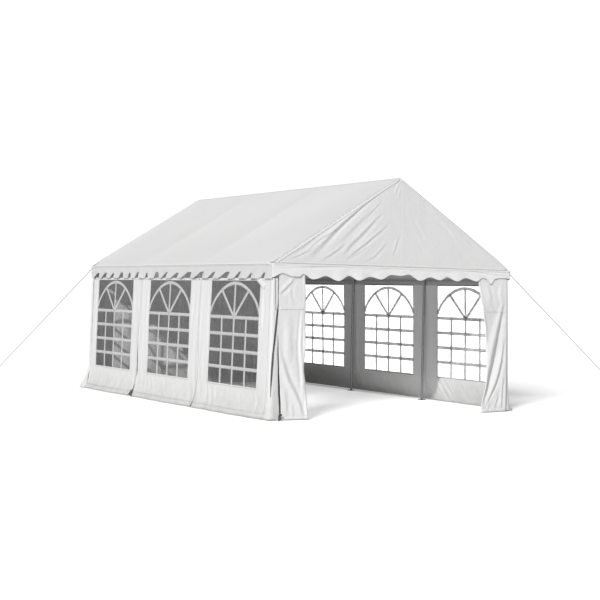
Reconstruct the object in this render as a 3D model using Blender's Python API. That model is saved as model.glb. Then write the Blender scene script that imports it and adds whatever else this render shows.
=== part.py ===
"""White gable-roof party tent, 4 m wide and 6 m long.

A steel frame of four tube bays carries a roof cover with a scalloped valance, two gable
panels, six side walls with clear windows, two drawn-back door flaps at the front and two
closed door panels at the rear. Two guy ropes run from opposite corners to ground pegs.
The origin is on the ground, at the middle of the plan. The front gable faces -Y.
"""
import math

import bmesh
import bpy
from mathutils import Matrix, Vector

# Overall size, in metres
WIDTH = 4.0
LENGTH = 6.0
EAVE = 2.04
RIDGE = 3.26
BAYS = 3

# Sheet thicknesses and the clearance between touching pieces
CLOTH = 0.003
FILM = 0.001
GAP = 0.0003
SEAM = 0.0005

# Steel frame
TUBE_R = 0.019
SLEEVE_R = 0.0215
HUB_R = 0.0235
SLEEVE = 0.12
LEG_INSET = 0.035
FOOT_WIDTH = 0.1
FOOT_THICK = 0.005
SLEEVE_ROOT = 0.005
SOCKET = 0.02
SIDES = 12
BALL_ROWS = 8
SMOOTH_ANGLE = 40

# Side walls and rear doors
WALL_TOP = 1.84
RIGHT_WALL_TOP = 1.905
HEM = 0.012
LEAN = 0.04
SKIRT = 0.361
SKIRT_POWER = 1.5
FLARE_FRONT = 0.02
FLARE_REAR = 0.13
FLARE_BELLY = 0.02
REAR_FLARE_MIDDLE = 0.6
RIPPLE = 0.012
RIPPLE_PITCH = 0.5
WRAP_LEFT = 0.07
WRAP_RIGHT = 0.035
REAR_WRAP = 0.06
SKIRT_ROWS = 4
EDGE_STEPS = 2
CORNER_STEPS = 4
REAR_DOOR_STEPS = 12

# Windows
WINDOW_W = 1.36
WINDOW_LOW = 0.393
WINDOW_HIGH = 1.805
FILM_LAP = 0.018
WINDOW_STEPS = 10

# Valance
VALANCE = 0.205
LEFT_SCALLOP = 0.092
RIGHT_SCALLOP = 0.072
END_SCALLOP = 0.055
SCALLOP_PITCH = LENGTH / 18
SCALLOP_STEPS = 4
NOTCH_ROUNDNESS = 0.8
VALANCE_SWING = 0.012
SWING_LAG = 0.6

# Roof and gables
ROOF_SAG = 0.034
RAFTER_BAND = 0.03
ROOF_BAY_STEPS = 4
ROOF_ROWS = 8
GABLE_END = 0.03
GABLE_BULGE = 0.012
GABLE_STEPS = 16
GABLE_ROWS = 4

# Front door flaps, drawn back to the corner legs: x at top and hem, nearest the leg first
FLAP_LEFT_X = ((-1.865, -1.475), (-1.85, -1.44))
FLAP_RIGHT_X = ((1.92, 1.475), (1.915, 1.54))
FLAP_FOLD = 0.028
FLAP_FOLDS = 2.5
FLAP_KICK = 0.09
FLAP_LEFT_SWING = 0.01
FLAP_RIGHT_SWING = 0.07
SWING_TOP = 1.8
SWING_FALL = 0.3
FLAP_STEPS = 20
FLAP_ROWS = 6

# Guy ropes and ground pegs
ROPE_R = 0.0055
ROPE_SIDES = 8
ROPE_TOP = 1.975
ROPE_REACH = 1.34
PEG_R = 0.007
PEG_HEIGHT = 0.08
PEG_HEAD_R = 0.014
PEG_HEAD = 0.006
ROPE_LOW = 0.05

# Worked out from the sizes above
HALF_W = WIDTH / 2
HALF_L = LENGTH / 2
BAY_LENGTH = LENGTH / BAYS
SLOPE = (RIDGE - EAVE) / HALF_W
PITCH = math.atan(SLOPE)
ROOF_DEPTH = CLOTH / math.cos(PITCH)
LEG_X = HALF_W - LEG_INSET
LEG_Y = HALF_L - LEG_INSET
RIDGE_HUB = RIDGE - (CLOTH + GAP + HUB_R) / math.cos(PITCH)
EAVE_HUB = RIDGE_HUB - SLOPE * LEG_X
FRAME_Y = (-LEG_Y, -BAY_LENGTH / 2, BAY_LENGTH / 2, LEG_Y)
WALL_R = TUBE_R + GAP
CORNER_ARC = WALL_R * math.pi / 2
ROOF_EDGE = HALF_W - CLOTH * math.sin(PITCH)
VALANCE_TOP = RIDGE - ROOF_DEPTH - SLOPE * ROOF_EDGE - GAP - SEAM
UP = Vector((0, 0, 1))


def clear_scene():
    """Take away whatever the open file holds."""
    for obj in list(bpy.data.objects):
        bpy.data.objects.remove(obj, do_unlink=True)


def material(name, colour, roughness, metallic=0.0, transmission=0.0):
    """A plain Principled material."""
    mat = bpy.data.materials.new(name)
    mat.use_nodes = True
    bsdf = mat.node_tree.nodes["Principled BSDF"]
    bsdf.inputs["Base Color"].default_value = (*colour, 1.0)
    bsdf.inputs["Roughness"].default_value = roughness
    bsdf.inputs["Metallic"].default_value = metallic
    bsdf.inputs["Transmission Weight"].default_value = transmission
    return mat


def add_object(name, bm, mat, smooth=True):
    """Turn a bmesh into a named object with one material."""
    mesh = bpy.data.meshes.new(name)
    bm.to_mesh(mesh)
    bm.free()
    mesh.materials.append(mat)
    if smooth:
        mesh.shade_smooth()
        mesh.set_sharp_from_angle(angle=math.radians(SMOOTH_ANGLE))
    obj = bpy.data.objects.new(name, mesh)
    bpy.context.scene.collection.objects.link(obj)
    return obj


def tube(name, start, end, radius, mat, sides=SIDES):
    """A round bar between two points, lying along its object's Z."""
    start, end = Vector(start), Vector(end)
    axis = end - start
    bm = bmesh.new()
    bmesh.ops.create_cone(bm, cap_ends=True, segments=sides, radius1=radius, radius2=radius,
                          depth=axis.length)
    obj = add_object(name, bm, mat)
    obj.location = (start + end) / 2
    obj.rotation_euler = axis.to_track_quat("Z", "Y").to_euler()
    return obj


def ball(name, centre, radius, mat):
    """The welded hub at the heart of a frame fitting."""
    bm = bmesh.new()
    bmesh.ops.create_uvsphere(bm, u_segments=SIDES, v_segments=BALL_ROWS, radius=radius)
    obj = add_object(name, bm, mat)
    obj.location = centre
    return obj


def slab(name, centre, size, mat):
    """A rectangular plate."""
    bm = bmesh.new()
    bmesh.ops.create_cube(bm, size=1.0, matrix=Matrix.Diagonal((*size, 1.0)))
    obj = add_object(name, bm, mat, smooth=False)
    obj.location = centre
    return obj


def fuse(name, pieces):
    """Weld pieces into one body under the given name."""
    body = pieces[0]
    for piece in pieces[1:]:
        piece.hide_render = True
        piece.display_type = "WIRE"
        weld = body.modifiers.new(piece.name, "BOOLEAN")
        weld.operation = "UNION"
        weld.object = piece
    bpy.context.view_layer.update()
    evaluated = body.evaluated_get(bpy.context.evaluated_depsgraph_get())
    mesh = bpy.data.meshes.new_from_object(evaluated)
    mesh.set_sharp_from_angle(angle=math.radians(SMOOTH_ANGLE))
    body.modifiers.clear()
    body.data = mesh
    body.name = mesh.name = name
    for piece in pieces[1:]:
        bpy.data.objects.remove(piece, do_unlink=True)


def hub_with_sleeves(name, centre, directions, mat):
    """A hub and the sleeves that reach from it, as loose pieces to be fused."""
    pieces = [ball(name + "_hub", centre, HUB_R, mat)]
    for number, direction in enumerate(directions):
        reach = Vector(direction).normalized()
        pieces.append(tube(f"{name}_sleeve_{number}", centre - reach * SLEEVE_ROOT,
                           centre + reach * SLEEVE, SLEEVE_R, mat))
    return pieces


def neighbours_along(number):
    """Directions along Y in which frame number has a next frame."""
    ahead = [Vector((0, 1, 0))] if number < BAYS else []
    behind = [Vector((0, -1, 0))] if number > 0 else []
    return ahead + behind


def add_leg(side, number, mat):
    """One leg: foot plate, tube and the eave fitting at its head."""
    name = f"leg_{'left' if side < 0 else 'right'}_{number + 1}"
    x, y = side * LEG_X, FRAME_Y[number]
    head = Vector((x, y, EAVE_HUB))
    directions = [Vector((0, 0, -1)), Vector((-side, 0, SLOPE))] + neighbours_along(number)
    if number in (0, BAYS):
        directions.append(Vector((-side, 0, 0)))
    pieces = [slab(name + "_plate", (x, y, FOOT_THICK / 2), (FOOT_WIDTH, FOOT_WIDTH, FOOT_THICK), mat),
              tube(name + "_tube", (x, y, FOOT_THICK / 2), (x, y, EAVE_HUB - SLEEVE + SOCKET),
                   TUBE_R, mat)]
    fuse(name, pieces + hub_with_sleeves(name, head, directions, mat))


def add_truss(number, mat):
    """Two rafters and the ridge fitting between them, ready to plug on to two legs."""
    name = f"truss_{number + 1}"
    top = Vector((0, FRAME_Y[number], RIDGE_HUB))
    falls = [Vector((side, 0, -SLOPE)).normalized() for side in (-1, 1)]
    rafter_length = math.hypot(LEG_X, RIDGE_HUB - EAVE_HUB) - SLEEVE - GAP
    pieces = hub_with_sleeves(name, top, falls + neighbours_along(number), mat)
    for rafter, fall in enumerate(falls):
        pieces.append(tube(f"{name}_rafter_{rafter}", top + fall * (SLEEVE - SOCKET),
                           top + fall * rafter_length, TUBE_R, mat))
    fuse(name, pieces)


def add_rails(mat):
    """Eave and ridge rails between neighbouring frames."""
    for bay in range(BAYS):
        start = FRAME_Y[bay] + SLEEVE + GAP
        end = FRAME_Y[bay + 1] - SLEEVE - GAP
        for side, word in ((-1, "left"), (1, "right")):
            tube(f"eave_rail_{word}_{bay + 1}", (side * LEG_X, start, EAVE_HUB),
                 (side * LEG_X, end, EAVE_HUB), TUBE_R, mat)
        tube(f"ridge_rail_{bay + 1}", (0, start, RIDGE_HUB), (0, end, RIDGE_HUB), TUBE_R, mat)


def add_crossbars(mat):
    """The bars across both gable ends at eave height."""
    reach = LEG_X - SLEEVE - GAP
    for y, word in ((-LEG_Y, "front"), (LEG_Y, "rear")):
        tube(f"crossbar_{word}", (-reach, y, EAVE_HUB), (reach, y, EAVE_HUB), TUBE_R, mat)


def sheet(name, columns, rows, place, mat, thickness=CLOTH, flip=False, hole=None):
    """A solid sheet over a grid of column and row values, thickened to its outer side.

    place gives the inner face's point for a column and a row value. hole gives the first and
    last column and row of the cells that are left out.
    """
    bm = bmesh.new()
    grid = [[bm.verts.new(place(column, row)) for column in columns] for row in rows]
    for j in range(len(rows) - 1):
        for i in range(len(columns) - 1):
            if hole and hole[0] <= i < hole[1] and hole[2] <= j < hole[3]:
                continue
            corners = [grid[j][i], grid[j][i + 1], grid[j + 1][i + 1], grid[j + 1][i]]
            bm.faces.new(corners[::-1] if flip else corners)
    loose = [vert for vert in bm.verts if not vert.link_faces]
    bmesh.ops.delete(bm, geom=loose, context="VERTS")
    obj = add_object(name, bm, mat)
    thicken = obj.modifiers.new("Thickness", "SOLIDIFY")
    thicken.thickness = thickness
    thicken.offset = 1.0
    thicken.use_even_offset = True
    return obj


def spread(first, last, steps):
    """Evenly spaced values from first to last."""
    return [first + (last - first) * i / steps for i in range(steps + 1)]


def roof_columns():
    """Values along Y: both ends, a flat band at each rafter and even steps in each bay."""
    values = [-HALF_L]
    for start, end in zip(FRAME_Y, FRAME_Y[1:]):
        values += spread(start + RAFTER_BAND, end - RAFTER_BAND, ROOF_BAY_STEPS)
    return values + [HALF_L]


def bay_share(y):
    """How far y lies through its bay, from 0 to 1."""
    for start, end in zip(FRAME_Y, FRAME_Y[1:]):
        if start <= y <= end:
            return (y - start) / (end - start)
    return 0.0


def roof_point(y, x):
    """Underside of the roof cover, which sags a little between the rafters."""
    sag = ROOF_SAG * math.sin(math.pi * bay_share(y)) ** 2 * math.sin(math.pi * abs(x) / HALF_W)
    return Vector((x, y, RIDGE - ROOF_DEPTH - SLOPE * abs(x) - max(sag, 0.0)))


def add_roof(mat):
    """The roof cover over both slopes."""
    rows = spread(-ROOF_EDGE, ROOF_EDGE, ROOF_ROWS)
    sheet("roof_cover", roof_columns(), rows, roof_point, mat, flip=True)


def add_gable(facing, word, mat):
    """The triangle of cloth that closes one gable above the eave."""
    half = HALF_W - GABLE_END
    low = VALANCE_TOP + GAP + SEAM

    def place(x, share):
        high = RIDGE - ROOF_DEPTH - SLOPE * abs(x) - GAP - SEAM
        z = low + (high - low) * share
        bulge = GABLE_BULGE * math.sin(math.pi * share) * math.cos(math.pi * x / (2 * half))
        return Vector((x, facing * (HALF_L - CLOTH + bulge), z))

    sheet(f"gable_{word}", spread(-half, half, GABLE_STEPS), spread(0, 1, GABLE_ROWS), place, mat,
          flip=facing > 0)


def scallop_columns(run):
    """Values along a valance, in even steps within each scallop."""
    return spread(-run / 2, run / 2, round(run / SCALLOP_PITCH) * SCALLOP_STEPS)


def valance_point(along, share, run, scallop, shift=0.0):
    """Distance along, outward swing and height of a point on a valance.

    Its notches stand at its ends and one pitch apart, moved along by a share of the pitch.
    """
    walked = along + run / 2
    turn = 2 * math.pi * (walked / SCALLOP_PITCH - shift)
    notch = (0.5 + 0.5 * math.cos(turn)) ** NOTCH_ROUNDNESS
    fade = math.sqrt(max(0.0, math.sin(math.pi * walked / run)))
    swing = VALANCE_SWING * share * fade * (1 + math.sin(turn / 2 + SWING_LAG))
    return along, swing, VALANCE_TOP - share * (VALANCE - scallop * notch)


def add_side_valance(side, word, scallop, mat):
    """The scalloped strip below one eave."""
    run = LENGTH - 2 * (CLOTH + GAP)

    def place(along, share):
        y, swing, z = valance_point(along, share, run, scallop)
        return Vector((side * (HALF_W - CLOTH + swing), y, z))

    sheet(f"valance_{word}", scallop_columns(run), (0, 1), place, mat, flip=side < 0)


def add_end_valance(facing, word, mat):
    """The scalloped strip below one gable, with a lobe in its middle."""

    def place(along, share):
        x, swing, z = valance_point(along, share, WIDTH, END_SCALLOP, shift=0.5)
        return Vector((x, facing * (HALF_L - CLOTH + swing), z))

    sheet(f"valance_{word}", scallop_columns(WIDTH), (0, 1), place, mat, flip=facing < 0)


def turned_path(distance, straight):
    """A line that runs straight, then turns a quarter circle round a leg's outer side.

    Returns the point and its outward direction, as values along and across the line. Across
    is measured from the legs' centre line.
    """
    past = distance - straight
    if past <= 0:
        return (distance, WALL_R), (0, 1)
    if past < CORNER_ARC:
        angle = past / WALL_R
        turn = (math.sin(angle), math.cos(angle))
        return (straight + WALL_R * turn[0], WALL_R * turn[1]), turn
    return (straight + WALL_R, CORNER_ARC - past), (1, 0)


def skirt(z):
    """How much of the outward flare of the hem shows at a height."""
    return max(0.0, (SKIRT - z) / (SKIRT - HEM)) ** SKIRT_POWER


def flare_at(share):
    """Outward flare of the hem, from the front corner (0) to the rear corner (1)."""
    belly = FLARE_BELLY * math.sin(math.pi * BAYS * share) ** 2
    return FLARE_FRONT + (FLARE_REAR - FLARE_FRONT) * math.sqrt(share) + belly


def hanging_point(distance, z, straight, origin, along, outward, flare):
    """A point on the inner face of a wall that hangs from the eave and flares at its hem."""
    (u, v), (du, dv) = turned_path(distance, straight)
    ripple = RIPPLE * (1 + math.sin(2 * math.pi * distance / RIPPLE_PITCH)) / 2
    out = LEAN * max(0.0, 1 - z / WALL_TOP) + (flare + ripple) * skirt(z)
    return origin + along * (u + du * out) + outward * (v + dv * out) + UP * z


def side_wall_place(side):
    """The placing function of one side wall: distance runs forward, from the middle of the plan."""
    origin = Vector((side * LEG_X, 0, 0))
    along, outward = Vector((0, -1, 0)), Vector((side, 0, 0))

    def place(distance, z):
        share = min(max((HALF_L - distance) / LENGTH, 0.0), 1.0)
        return hanging_point(distance, z, LEG_Y, origin, along, outward, flare_at(share))

    return place


def wall_columns(number, wrap):
    """Values along a side wall panel from its rear edge. The front panel turns round its leg."""
    middle = (1 - number) * BAY_LENGTH
    rear = middle - BAY_LENGTH / 2 if number < BAYS - 1 else REAR_WRAP - LEG_Y
    panes = spread(middle - WINDOW_W / 2, middle + WINDOW_W / 2, WINDOW_STEPS)
    columns = spread(rear + SEAM, panes[0], EDGE_STEPS) + panes[1:]
    if number > 0:
        return columns + spread(panes[-1], middle + BAY_LENGTH / 2 - SEAM, EDGE_STEPS)[1:]
    columns += spread(panes[-1], LEG_Y, EDGE_STEPS)[1:]
    columns += spread(LEG_Y, LEG_Y + CORNER_ARC, CORNER_STEPS)[1:]
    return columns + [LEG_Y + CORNER_ARC + wrap]


def add_side_walls(side, word, wrap, top, cloth, film):
    """Three wall panels with their window films, on one side of the tent."""
    rows = spread(HEM, WINDOW_LOW, SKIRT_ROWS) + [WINDOW_HIGH, top]
    hole = (EDGE_STEPS, EDGE_STEPS + WINDOW_STEPS, SKIRT_ROWS, SKIRT_ROWS + 1)
    place = side_wall_place(side)
    for number in range(BAYS):
        sheet(f"wall_{word}_{number + 1}", wall_columns(number, wrap), rows, place, cloth,
              flip=side > 0, hole=hole)
        add_window(f"window_{word}_{number + 1}", side, (1 - number) * BAY_LENGTH, place, film)


def add_window(name, side, middle, place, film):
    """A clear film welded behind a wall's window opening, lapping it all round."""
    half = WINDOW_W / 2 + FILM_LAP
    inward = Vector((-side * GAP, 0, 0))

    def behind(distance, z):
        return place(distance, z) + inward

    sheet(name, (middle - half, middle + half), (WINDOW_LOW - FILM_LAP, WINDOW_HIGH + FILM_LAP),
          behind, film, thickness=FILM, flip=side < 0)


def add_rear_door(side, word, mat):
    """Half of the closed rear end, which wraps round its corner leg to meet the side wall."""
    origin = Vector((0, LEG_Y, 0))
    along, outward = Vector((side, 0, 0)), Vector((0, 1, 0))
    columns = spread(SEAM, LEG_X, REAR_DOOR_STEPS)
    columns += spread(LEG_X, LEG_X + CORNER_ARC, CORNER_STEPS)[1:]
    columns.append(LEG_X + CORNER_ARC + REAR_WRAP - SEAM)

    def place(distance, z):
        share = min(distance / LEG_X, 1.0)
        flare = FLARE_REAR * (REAR_FLARE_MIDDLE + (1 - REAR_FLARE_MIDDLE) * share)
        return hanging_point(distance, z, LEG_X, origin, along, outward, flare)

    rows = spread(HEM, SKIRT, SKIRT_ROWS) + [WALL_TOP]
    sheet(f"rear_door_{word}", columns, rows, place, mat, flip=side > 0)


def add_front_flap(word, edges, free_swing, mat):
    """A front door half drawn back to its corner leg, hanging in folds from the crossbar.

    Below the valance its free edge swings forward by the given distance.
    """
    (top_leg, top_free), (hem_leg, hem_free) = edges
    high = EAVE_HUB - SLEEVE_R - GAP

    def place(share, z):
        down = (high - z) / (high - HEM)
        x_top = top_leg + (top_free - top_leg) * share
        x_hem = hem_leg + (hem_free - hem_leg) * share
        fold = FLAP_FOLD * min(1.0, 2 * down) * math.sin(2 * math.pi * FLAP_FOLDS * share)
        swing = free_swing * share * min(1.0, max(0.0, (SWING_TOP - z) / SWING_FALL))
        forward = max(fold, 0.0) + FLAP_KICK * down ** 2 + swing
        return Vector((x_top + (x_hem - x_top) * down, -LEG_Y - forward, z))

    rows = spread(HEM, SWING_TOP, FLAP_ROWS) + [high]
    sheet(f"door_flap_{word}", spread(0, 1, FLAP_STEPS), rows, place, mat, flip=word == "right")


def add_guy_rope(x_sign, y_sign, word, rope_mat, steel):
    """A taut rope from a roof corner out to a peg in the ground."""
    outward = Vector((x_sign, y_sign, 0)).normalized()
    corner = Vector((x_sign * HALF_W, y_sign * HALF_L, ROPE_TOP))
    peg_foot = Vector((x_sign * (HALF_W + ROPE_REACH), y_sign * (HALF_L + ROPE_REACH), 0))
    steepness = math.atan2(ROPE_TOP - ROPE_LOW, ROPE_REACH * math.sqrt(2))
    end_cap = ROPE_R * math.sin(steepness)
    start = corner + outward * (end_cap + GAP)
    end = peg_foot - outward * (PEG_R + end_cap + GAP) + UP * ROPE_LOW
    tube(f"guy_rope_{word}", start, end, ROPE_R, rope_mat, sides=ROPE_SIDES)
    shaft = tube(f"peg_shaft_{word}", peg_foot, peg_foot + UP * PEG_HEIGHT, PEG_R, steel)
    head = tube(f"peg_head_{word}", peg_foot + UP * (PEG_HEIGHT - PEG_HEAD),
                peg_foot + UP * (PEG_HEIGHT + PEG_HEAD), PEG_HEAD_R, steel)
    fuse(f"ground_peg_{word}", [shaft, head])


def main():
    clear_scene()
    steel = material("galvanised_steel", (0.56, 0.57, 0.58), 0.42, metallic=0.9)
    roof_cloth = material("roof_cloth", (0.80, 0.80, 0.80), 0.6)
    wall_cloth = material("wall_cloth", (0.84, 0.84, 0.84), 0.62)
    film = material("window_film", (0.75, 0.78, 0.8), 0.12, transmission=0.9)
    rope = material("guy_rope", (0.72, 0.72, 0.70), 0.8)
    peg_steel = material("peg_steel", (0.30, 0.30, 0.31), 0.5, metallic=0.9)

    for number in range(BAYS + 1):
        for side in (-1, 1):
            add_leg(side, number, steel)
        add_truss(number, steel)
    add_rails(steel)
    add_crossbars(steel)

    add_roof(roof_cloth)
    for facing, word in ((-1, "front"), (1, "rear")):
        add_gable(facing, word, roof_cloth)
        add_end_valance(facing, word, roof_cloth)
    for side, word in ((-1, "left"), (1, "right")):
        add_rear_door(side, word, wall_cloth)
    add_side_valance(-1, "left", LEFT_SCALLOP, roof_cloth)
    add_side_valance(1, "right", RIGHT_SCALLOP, roof_cloth)
    add_side_walls(-1, "left", WRAP_LEFT, WALL_TOP, wall_cloth, film)
    add_side_walls(1, "right", WRAP_RIGHT, RIGHT_WALL_TOP, wall_cloth, film)
    add_front_flap("left", FLAP_LEFT_X, FLAP_LEFT_SWING, wall_cloth)
    add_front_flap("right", FLAP_RIGHT_X, FLAP_RIGHT_SWING, wall_cloth)
    add_guy_rope(-1, 1, "rear_left", rope, peg_steel)
    add_guy_rope(1, -1, "front_right", rope, peg_steel)


main()
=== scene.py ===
"""The looks of a party tent, built over its packed frame and laid out as an add-on."""

import math

import bmesh
import bpy
from bpy.props import FloatProperty, FloatVectorProperty, IntProperty, PointerProperty
from mathutils import Matrix, Vector, noise


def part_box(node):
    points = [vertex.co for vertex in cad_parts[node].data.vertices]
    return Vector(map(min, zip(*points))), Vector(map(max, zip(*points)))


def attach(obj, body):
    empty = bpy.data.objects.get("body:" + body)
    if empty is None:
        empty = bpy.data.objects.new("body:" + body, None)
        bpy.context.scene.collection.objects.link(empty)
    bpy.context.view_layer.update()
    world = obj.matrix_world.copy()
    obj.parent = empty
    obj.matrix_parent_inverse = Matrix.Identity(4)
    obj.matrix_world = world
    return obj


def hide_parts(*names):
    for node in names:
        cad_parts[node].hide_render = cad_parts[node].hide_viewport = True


bl_info = {
    "name": "Party tent dresser",
    "version": (1, 0, 0),
    "blender": (4, 5, 0),
    "location": "3D View > Sidebar > Tent",
    "description": "Builds the cloth, windows, steel and ropes of a party tent over its frame",
    "category": "Add Mesh",
}

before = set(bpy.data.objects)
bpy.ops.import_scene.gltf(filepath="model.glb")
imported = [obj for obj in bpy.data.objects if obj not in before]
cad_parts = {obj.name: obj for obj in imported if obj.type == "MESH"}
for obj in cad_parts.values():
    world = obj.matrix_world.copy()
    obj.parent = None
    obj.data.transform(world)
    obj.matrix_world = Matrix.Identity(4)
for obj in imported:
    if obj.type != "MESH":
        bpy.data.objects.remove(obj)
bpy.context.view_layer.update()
TAU = 2 * math.pi
UP = Vector((0, 0, 1))
WHITE = (1.0, 1.0, 1.0, 1.0)
SIDES = ((-1, "left"), (1, "right"))
ENDS = ((-1, "front"), (1, "rear"))

# Sizes of the frame, in metres, from its own nodes
HALF_W, HALF_L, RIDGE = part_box("roof_cover")[1]
EAVE = 2.04
SLOPE = (RIDGE - EAVE) / HALF_W
PITCH = math.atan(SLOPE)
CLOTH_ROOM = 0.003
GAP = 0.0003
BAYS = 3
BAY = 2 * HALF_L / BAYS
TUBE_R = 0.019
SLEEVE_R = 0.0215
HUB_R = 0.0235
SLEEVE = 0.12
BOLT, BOLT_AT = 0.0075, 0.085
LEG_X = HALF_W - 0.035
LEG_Y = HALF_L - 0.035
RIDGE_HUB = RIDGE - (CLOTH_ROOM + GAP + HUB_R) / math.cos(PITCH)
EAVE_HUB = RIDGE_HUB - SLOPE * LEG_X
FRAME_Y = (-LEG_Y, -BAY / 2, BAY / 2, LEG_Y)
WALL_R = TUBE_R + GAP
CORNER_ARC = WALL_R * math.pi / 2
ROOF_EDGE = HALF_W - CLOTH_ROOM * math.sin(PITCH)
SEAM_GAP = 0.0008
VALANCE_TOP = RIDGE - CLOTH_ROOM / math.cos(PITCH) - SLOPE * ROOF_EDGE - SEAM_GAP

# Roof cloth: the lip below its eaves and the step of its mesh
LIP = 0.018
ROOF_STEP = 0.034

# Walls: their tops, the foot of every cloth, the height at which the hem starts to flare, how far
# each wraps a corner leg, and where the eyelets and hems lie
WALL_TOP = 1.84
HANG = {-1: 1.84, 1: 1.905}
REAR_TOP = 1.895
HEM = 0.012
SKIRT_TOP = 0.361
SKIN = 0.0018
WRAP_LEFT, WRAP_RIGHT, REAR_WRAP = 0.07, 0.035, 0.06
FLARE_REAR = 0.13
WALL_END = LEG_Y - 0.004
EYELET_DROP = 0.016
ZIP_STEP = 0.008
ELASTIC_R = 0.0022

# Windows
WINDOW_W = 1.36
WINDOW_LOW, WINDOW_HIGH = 0.393, 1.805
FILM_LAP = 0.018
TRANSOM = 1.305
ARCH_FOOT = TRANSOM + 0.06
ARCH_TOP = WINDOW_HIGH - 0.036
SPOKE = 0.55

# Valance
VALANCE = 0.205
SCALLOP_PITCH = 2 * HALF_L / 18
SIDE_SCALLOP, RIGHT_SCALLOP, END_SCALLOP = 0.092, 0.072, 0.055

# Guy ropes and pegs
ROPE_R, ROPE_TOP, ROPE_REACH, ROPE_LOW = 0.0055, 1.975, 1.34, 0.05
PEG_R, PEG_HIGH = 0.007, 0.08
SLIDER_BACK = 0.34


def length_property(name, about, default, low, high):
    """A length in metres that the panel shows."""
    return FloatProperty(name=name, description=about, default=default, min=low, max=high,
                         unit="LENGTH")


def factor_property(name, about, default, high=1.0):
    """A share that the panel shows."""
    return FloatProperty(name=name, description=about, default=default, min=0.0, max=high,
                         subtype="FACTOR")


def count_property(name, about, default, low, high):
    """A whole number that the panel shows."""
    return IntProperty(name=name, description=about, default=default, min=low, max=high)


def colour_property(name, about, *default):
    """A colour that the panel shows."""
    return FloatVectorProperty(name=name, description=about, default=default, min=0, max=1,
                               subtype="COLOR")


class TentCloth(bpy.types.PropertyGroup):
    """Sizes and colours of the cloth pieces."""
    thickness: length_property("Cloth thickness", "Thickness of one layer of cloth",
                               0.0012, 0.0003, 0.003)
    step: length_property("Mesh step", "Distance between the points of a cloth's mesh",
                          0.018, 0.01, 0.05)
    weave: length_property("Weave pitch", "Distance between two threads of the cloth",
                           0.0022, 0.0005, 0.01)
    sag: length_property("Roof sag", "How far the roof sags between two rafters",
                         0.034, 0.0, 0.05)
    fold: factor_property("Fold depth", "Depth of every fold, against the real one's", 1.0, 2.0)
    roof_colour: colour_property("Roof colour", "Colour of the roof and its gables",
                                 0.8, 0.8, 0.797)
    wall_colour: colour_property("Wall colour", "Colour of the walls and their hems",
                                 0.77, 0.77, 0.768)
    tape_colour: colour_property("Tape colour", "Colour of hems, tapes and bars",
                                 0.82, 0.82, 0.82)
    # Lighter than the wall cloth: painted light on the doors and flaps.
    door_colour: colour_property("Door colour", "Colour of the front flaps and rear doors",
                                 0.8, 0.8, 0.798)
    strip_colour: colour_property("End valance colour",
                                  "Colour of the scalloped strips on the ends",
                                  0.85, 0.85, 0.848)
    # Much darker than the end strips' cloth: painted shade on the side strips.
    side_strip_colour: colour_property("Side valance colour",
                                       "Colour of the scalloped strips on the sides",
                                       0.685, 0.685, 0.683)


class TentWindows(bpy.types.PropertyGroup):
    """Sizes and colours of the window films and their bars."""
    bar: length_property("Bar width", "Width of the white bars on a window", 0.0473, 0.01, 0.06)
    panes: count_property("Panes across", "Panes in each row below the transom", 4, 1, 8)
    rows: count_property("Rows of panes", "Rows of panes below the transom", 4, 1, 8)
    cover: factor_property("Film cover", "How much each face of a film hides", 0.22)
    bar_cover: factor_property("Bar cover", "How much each face of a bar hides", 0.62)
    film_colour: colour_property("Film colour", "Colour of the clear film", 0.012, 0.013, 0.014)


class TentSteel(bpy.types.PropertyGroup):
    """Colours and finish of the frame, ropes and pegs."""
    sides: count_property("Tube sides", "Flats round each tube", 28, 8, 64)
    steel_colour: colour_property("Steel colour", "Colour of the galvanised tubes",
                                  0.43, 0.44, 0.45)
    rope_colour: colour_property("Rope colour", "Colour of the guy ropes", 0.48, 0.48, 0.47)
    bolt_colour: colour_property("Bolt colour", "Colour of bolts and pegs", 0.1, 0.1, 0.103)


class TentStage(bpy.types.PropertyGroup):
    """The floor, the camera and the light."""
    sun: FloatProperty(name="Sun strength", description="Strength of the sun on the tent",
                       default=2.55, min=0.0, max=20.0)
    sky: FloatProperty(name="Sky strength", description="Strength of the light from all round",
                       default=0.36, min=0.0, max=5.0)
    lens: FloatProperty(name="Focal length", description="Focal length in millimetres",
                        default=77.82, min=10.0, max=300.0)
    floor_colour: colour_property("Floor colour", "Colour of the plain floor", 0.8, 0.8, 0.8)


# Node trees

NUMBER, VECTOR = "NodeSocketFloat", "NodeSocketVector"
# Colour of the darkening near the ground: dust, and on the cloth painted shade at its foot.
DUST_AND_SHADE_COLOUR = (0.46, 0.455, 0.44)
GROUPS = {}
FINISHES = {}


class Value:
    """An output in a node tree. Sums on it place Math nodes there."""

    def __init__(self, socket):
        self.socket = socket

    def math(self, operation, *inputs):
        """The value of one Math node in this value's tree."""
        return values_of(add_node(self.socket.id_data, "ShaderNodeMath", dict(enumerate(inputs)),
                                  operation=operation))["Value"]

    def __add__(self, other):
        return self.math("ADD", self, other)

    def __sub__(self, other):
        return self.math("SUBTRACT", self, other)

    def __rsub__(self, other):
        return self.math("SUBTRACT", other, self)

    def __mul__(self, other):
        return self.math("MULTIPLY", self, other)

    def __truediv__(self, other):
        return self.math("DIVIDE", self, other)

    def __rtruediv__(self, other):
        return self.math("DIVIDE", other, self)

    def __pow__(self, other):
        return self.math("POWER", self, other)

    def __gt__(self, other):
        return self.math("GREATER_THAN", self, other)

    def __lt__(self, other):
        return self.math("LESS_THAN", self, other)

    def __abs__(self):
        return self.math("ABSOLUTE", self)

    def sine(self):
        """The sine of this value."""
        return self.math("SINE", self)

    def clamped(self):
        """Hold the Math node that makes this value between 0 and 1."""
        self.socket.node.use_clamp = True
        return self


def values_of(node):
    """A node's outputs by name."""
    return {socket.name: Value(socket) for socket in node.outputs}


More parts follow.
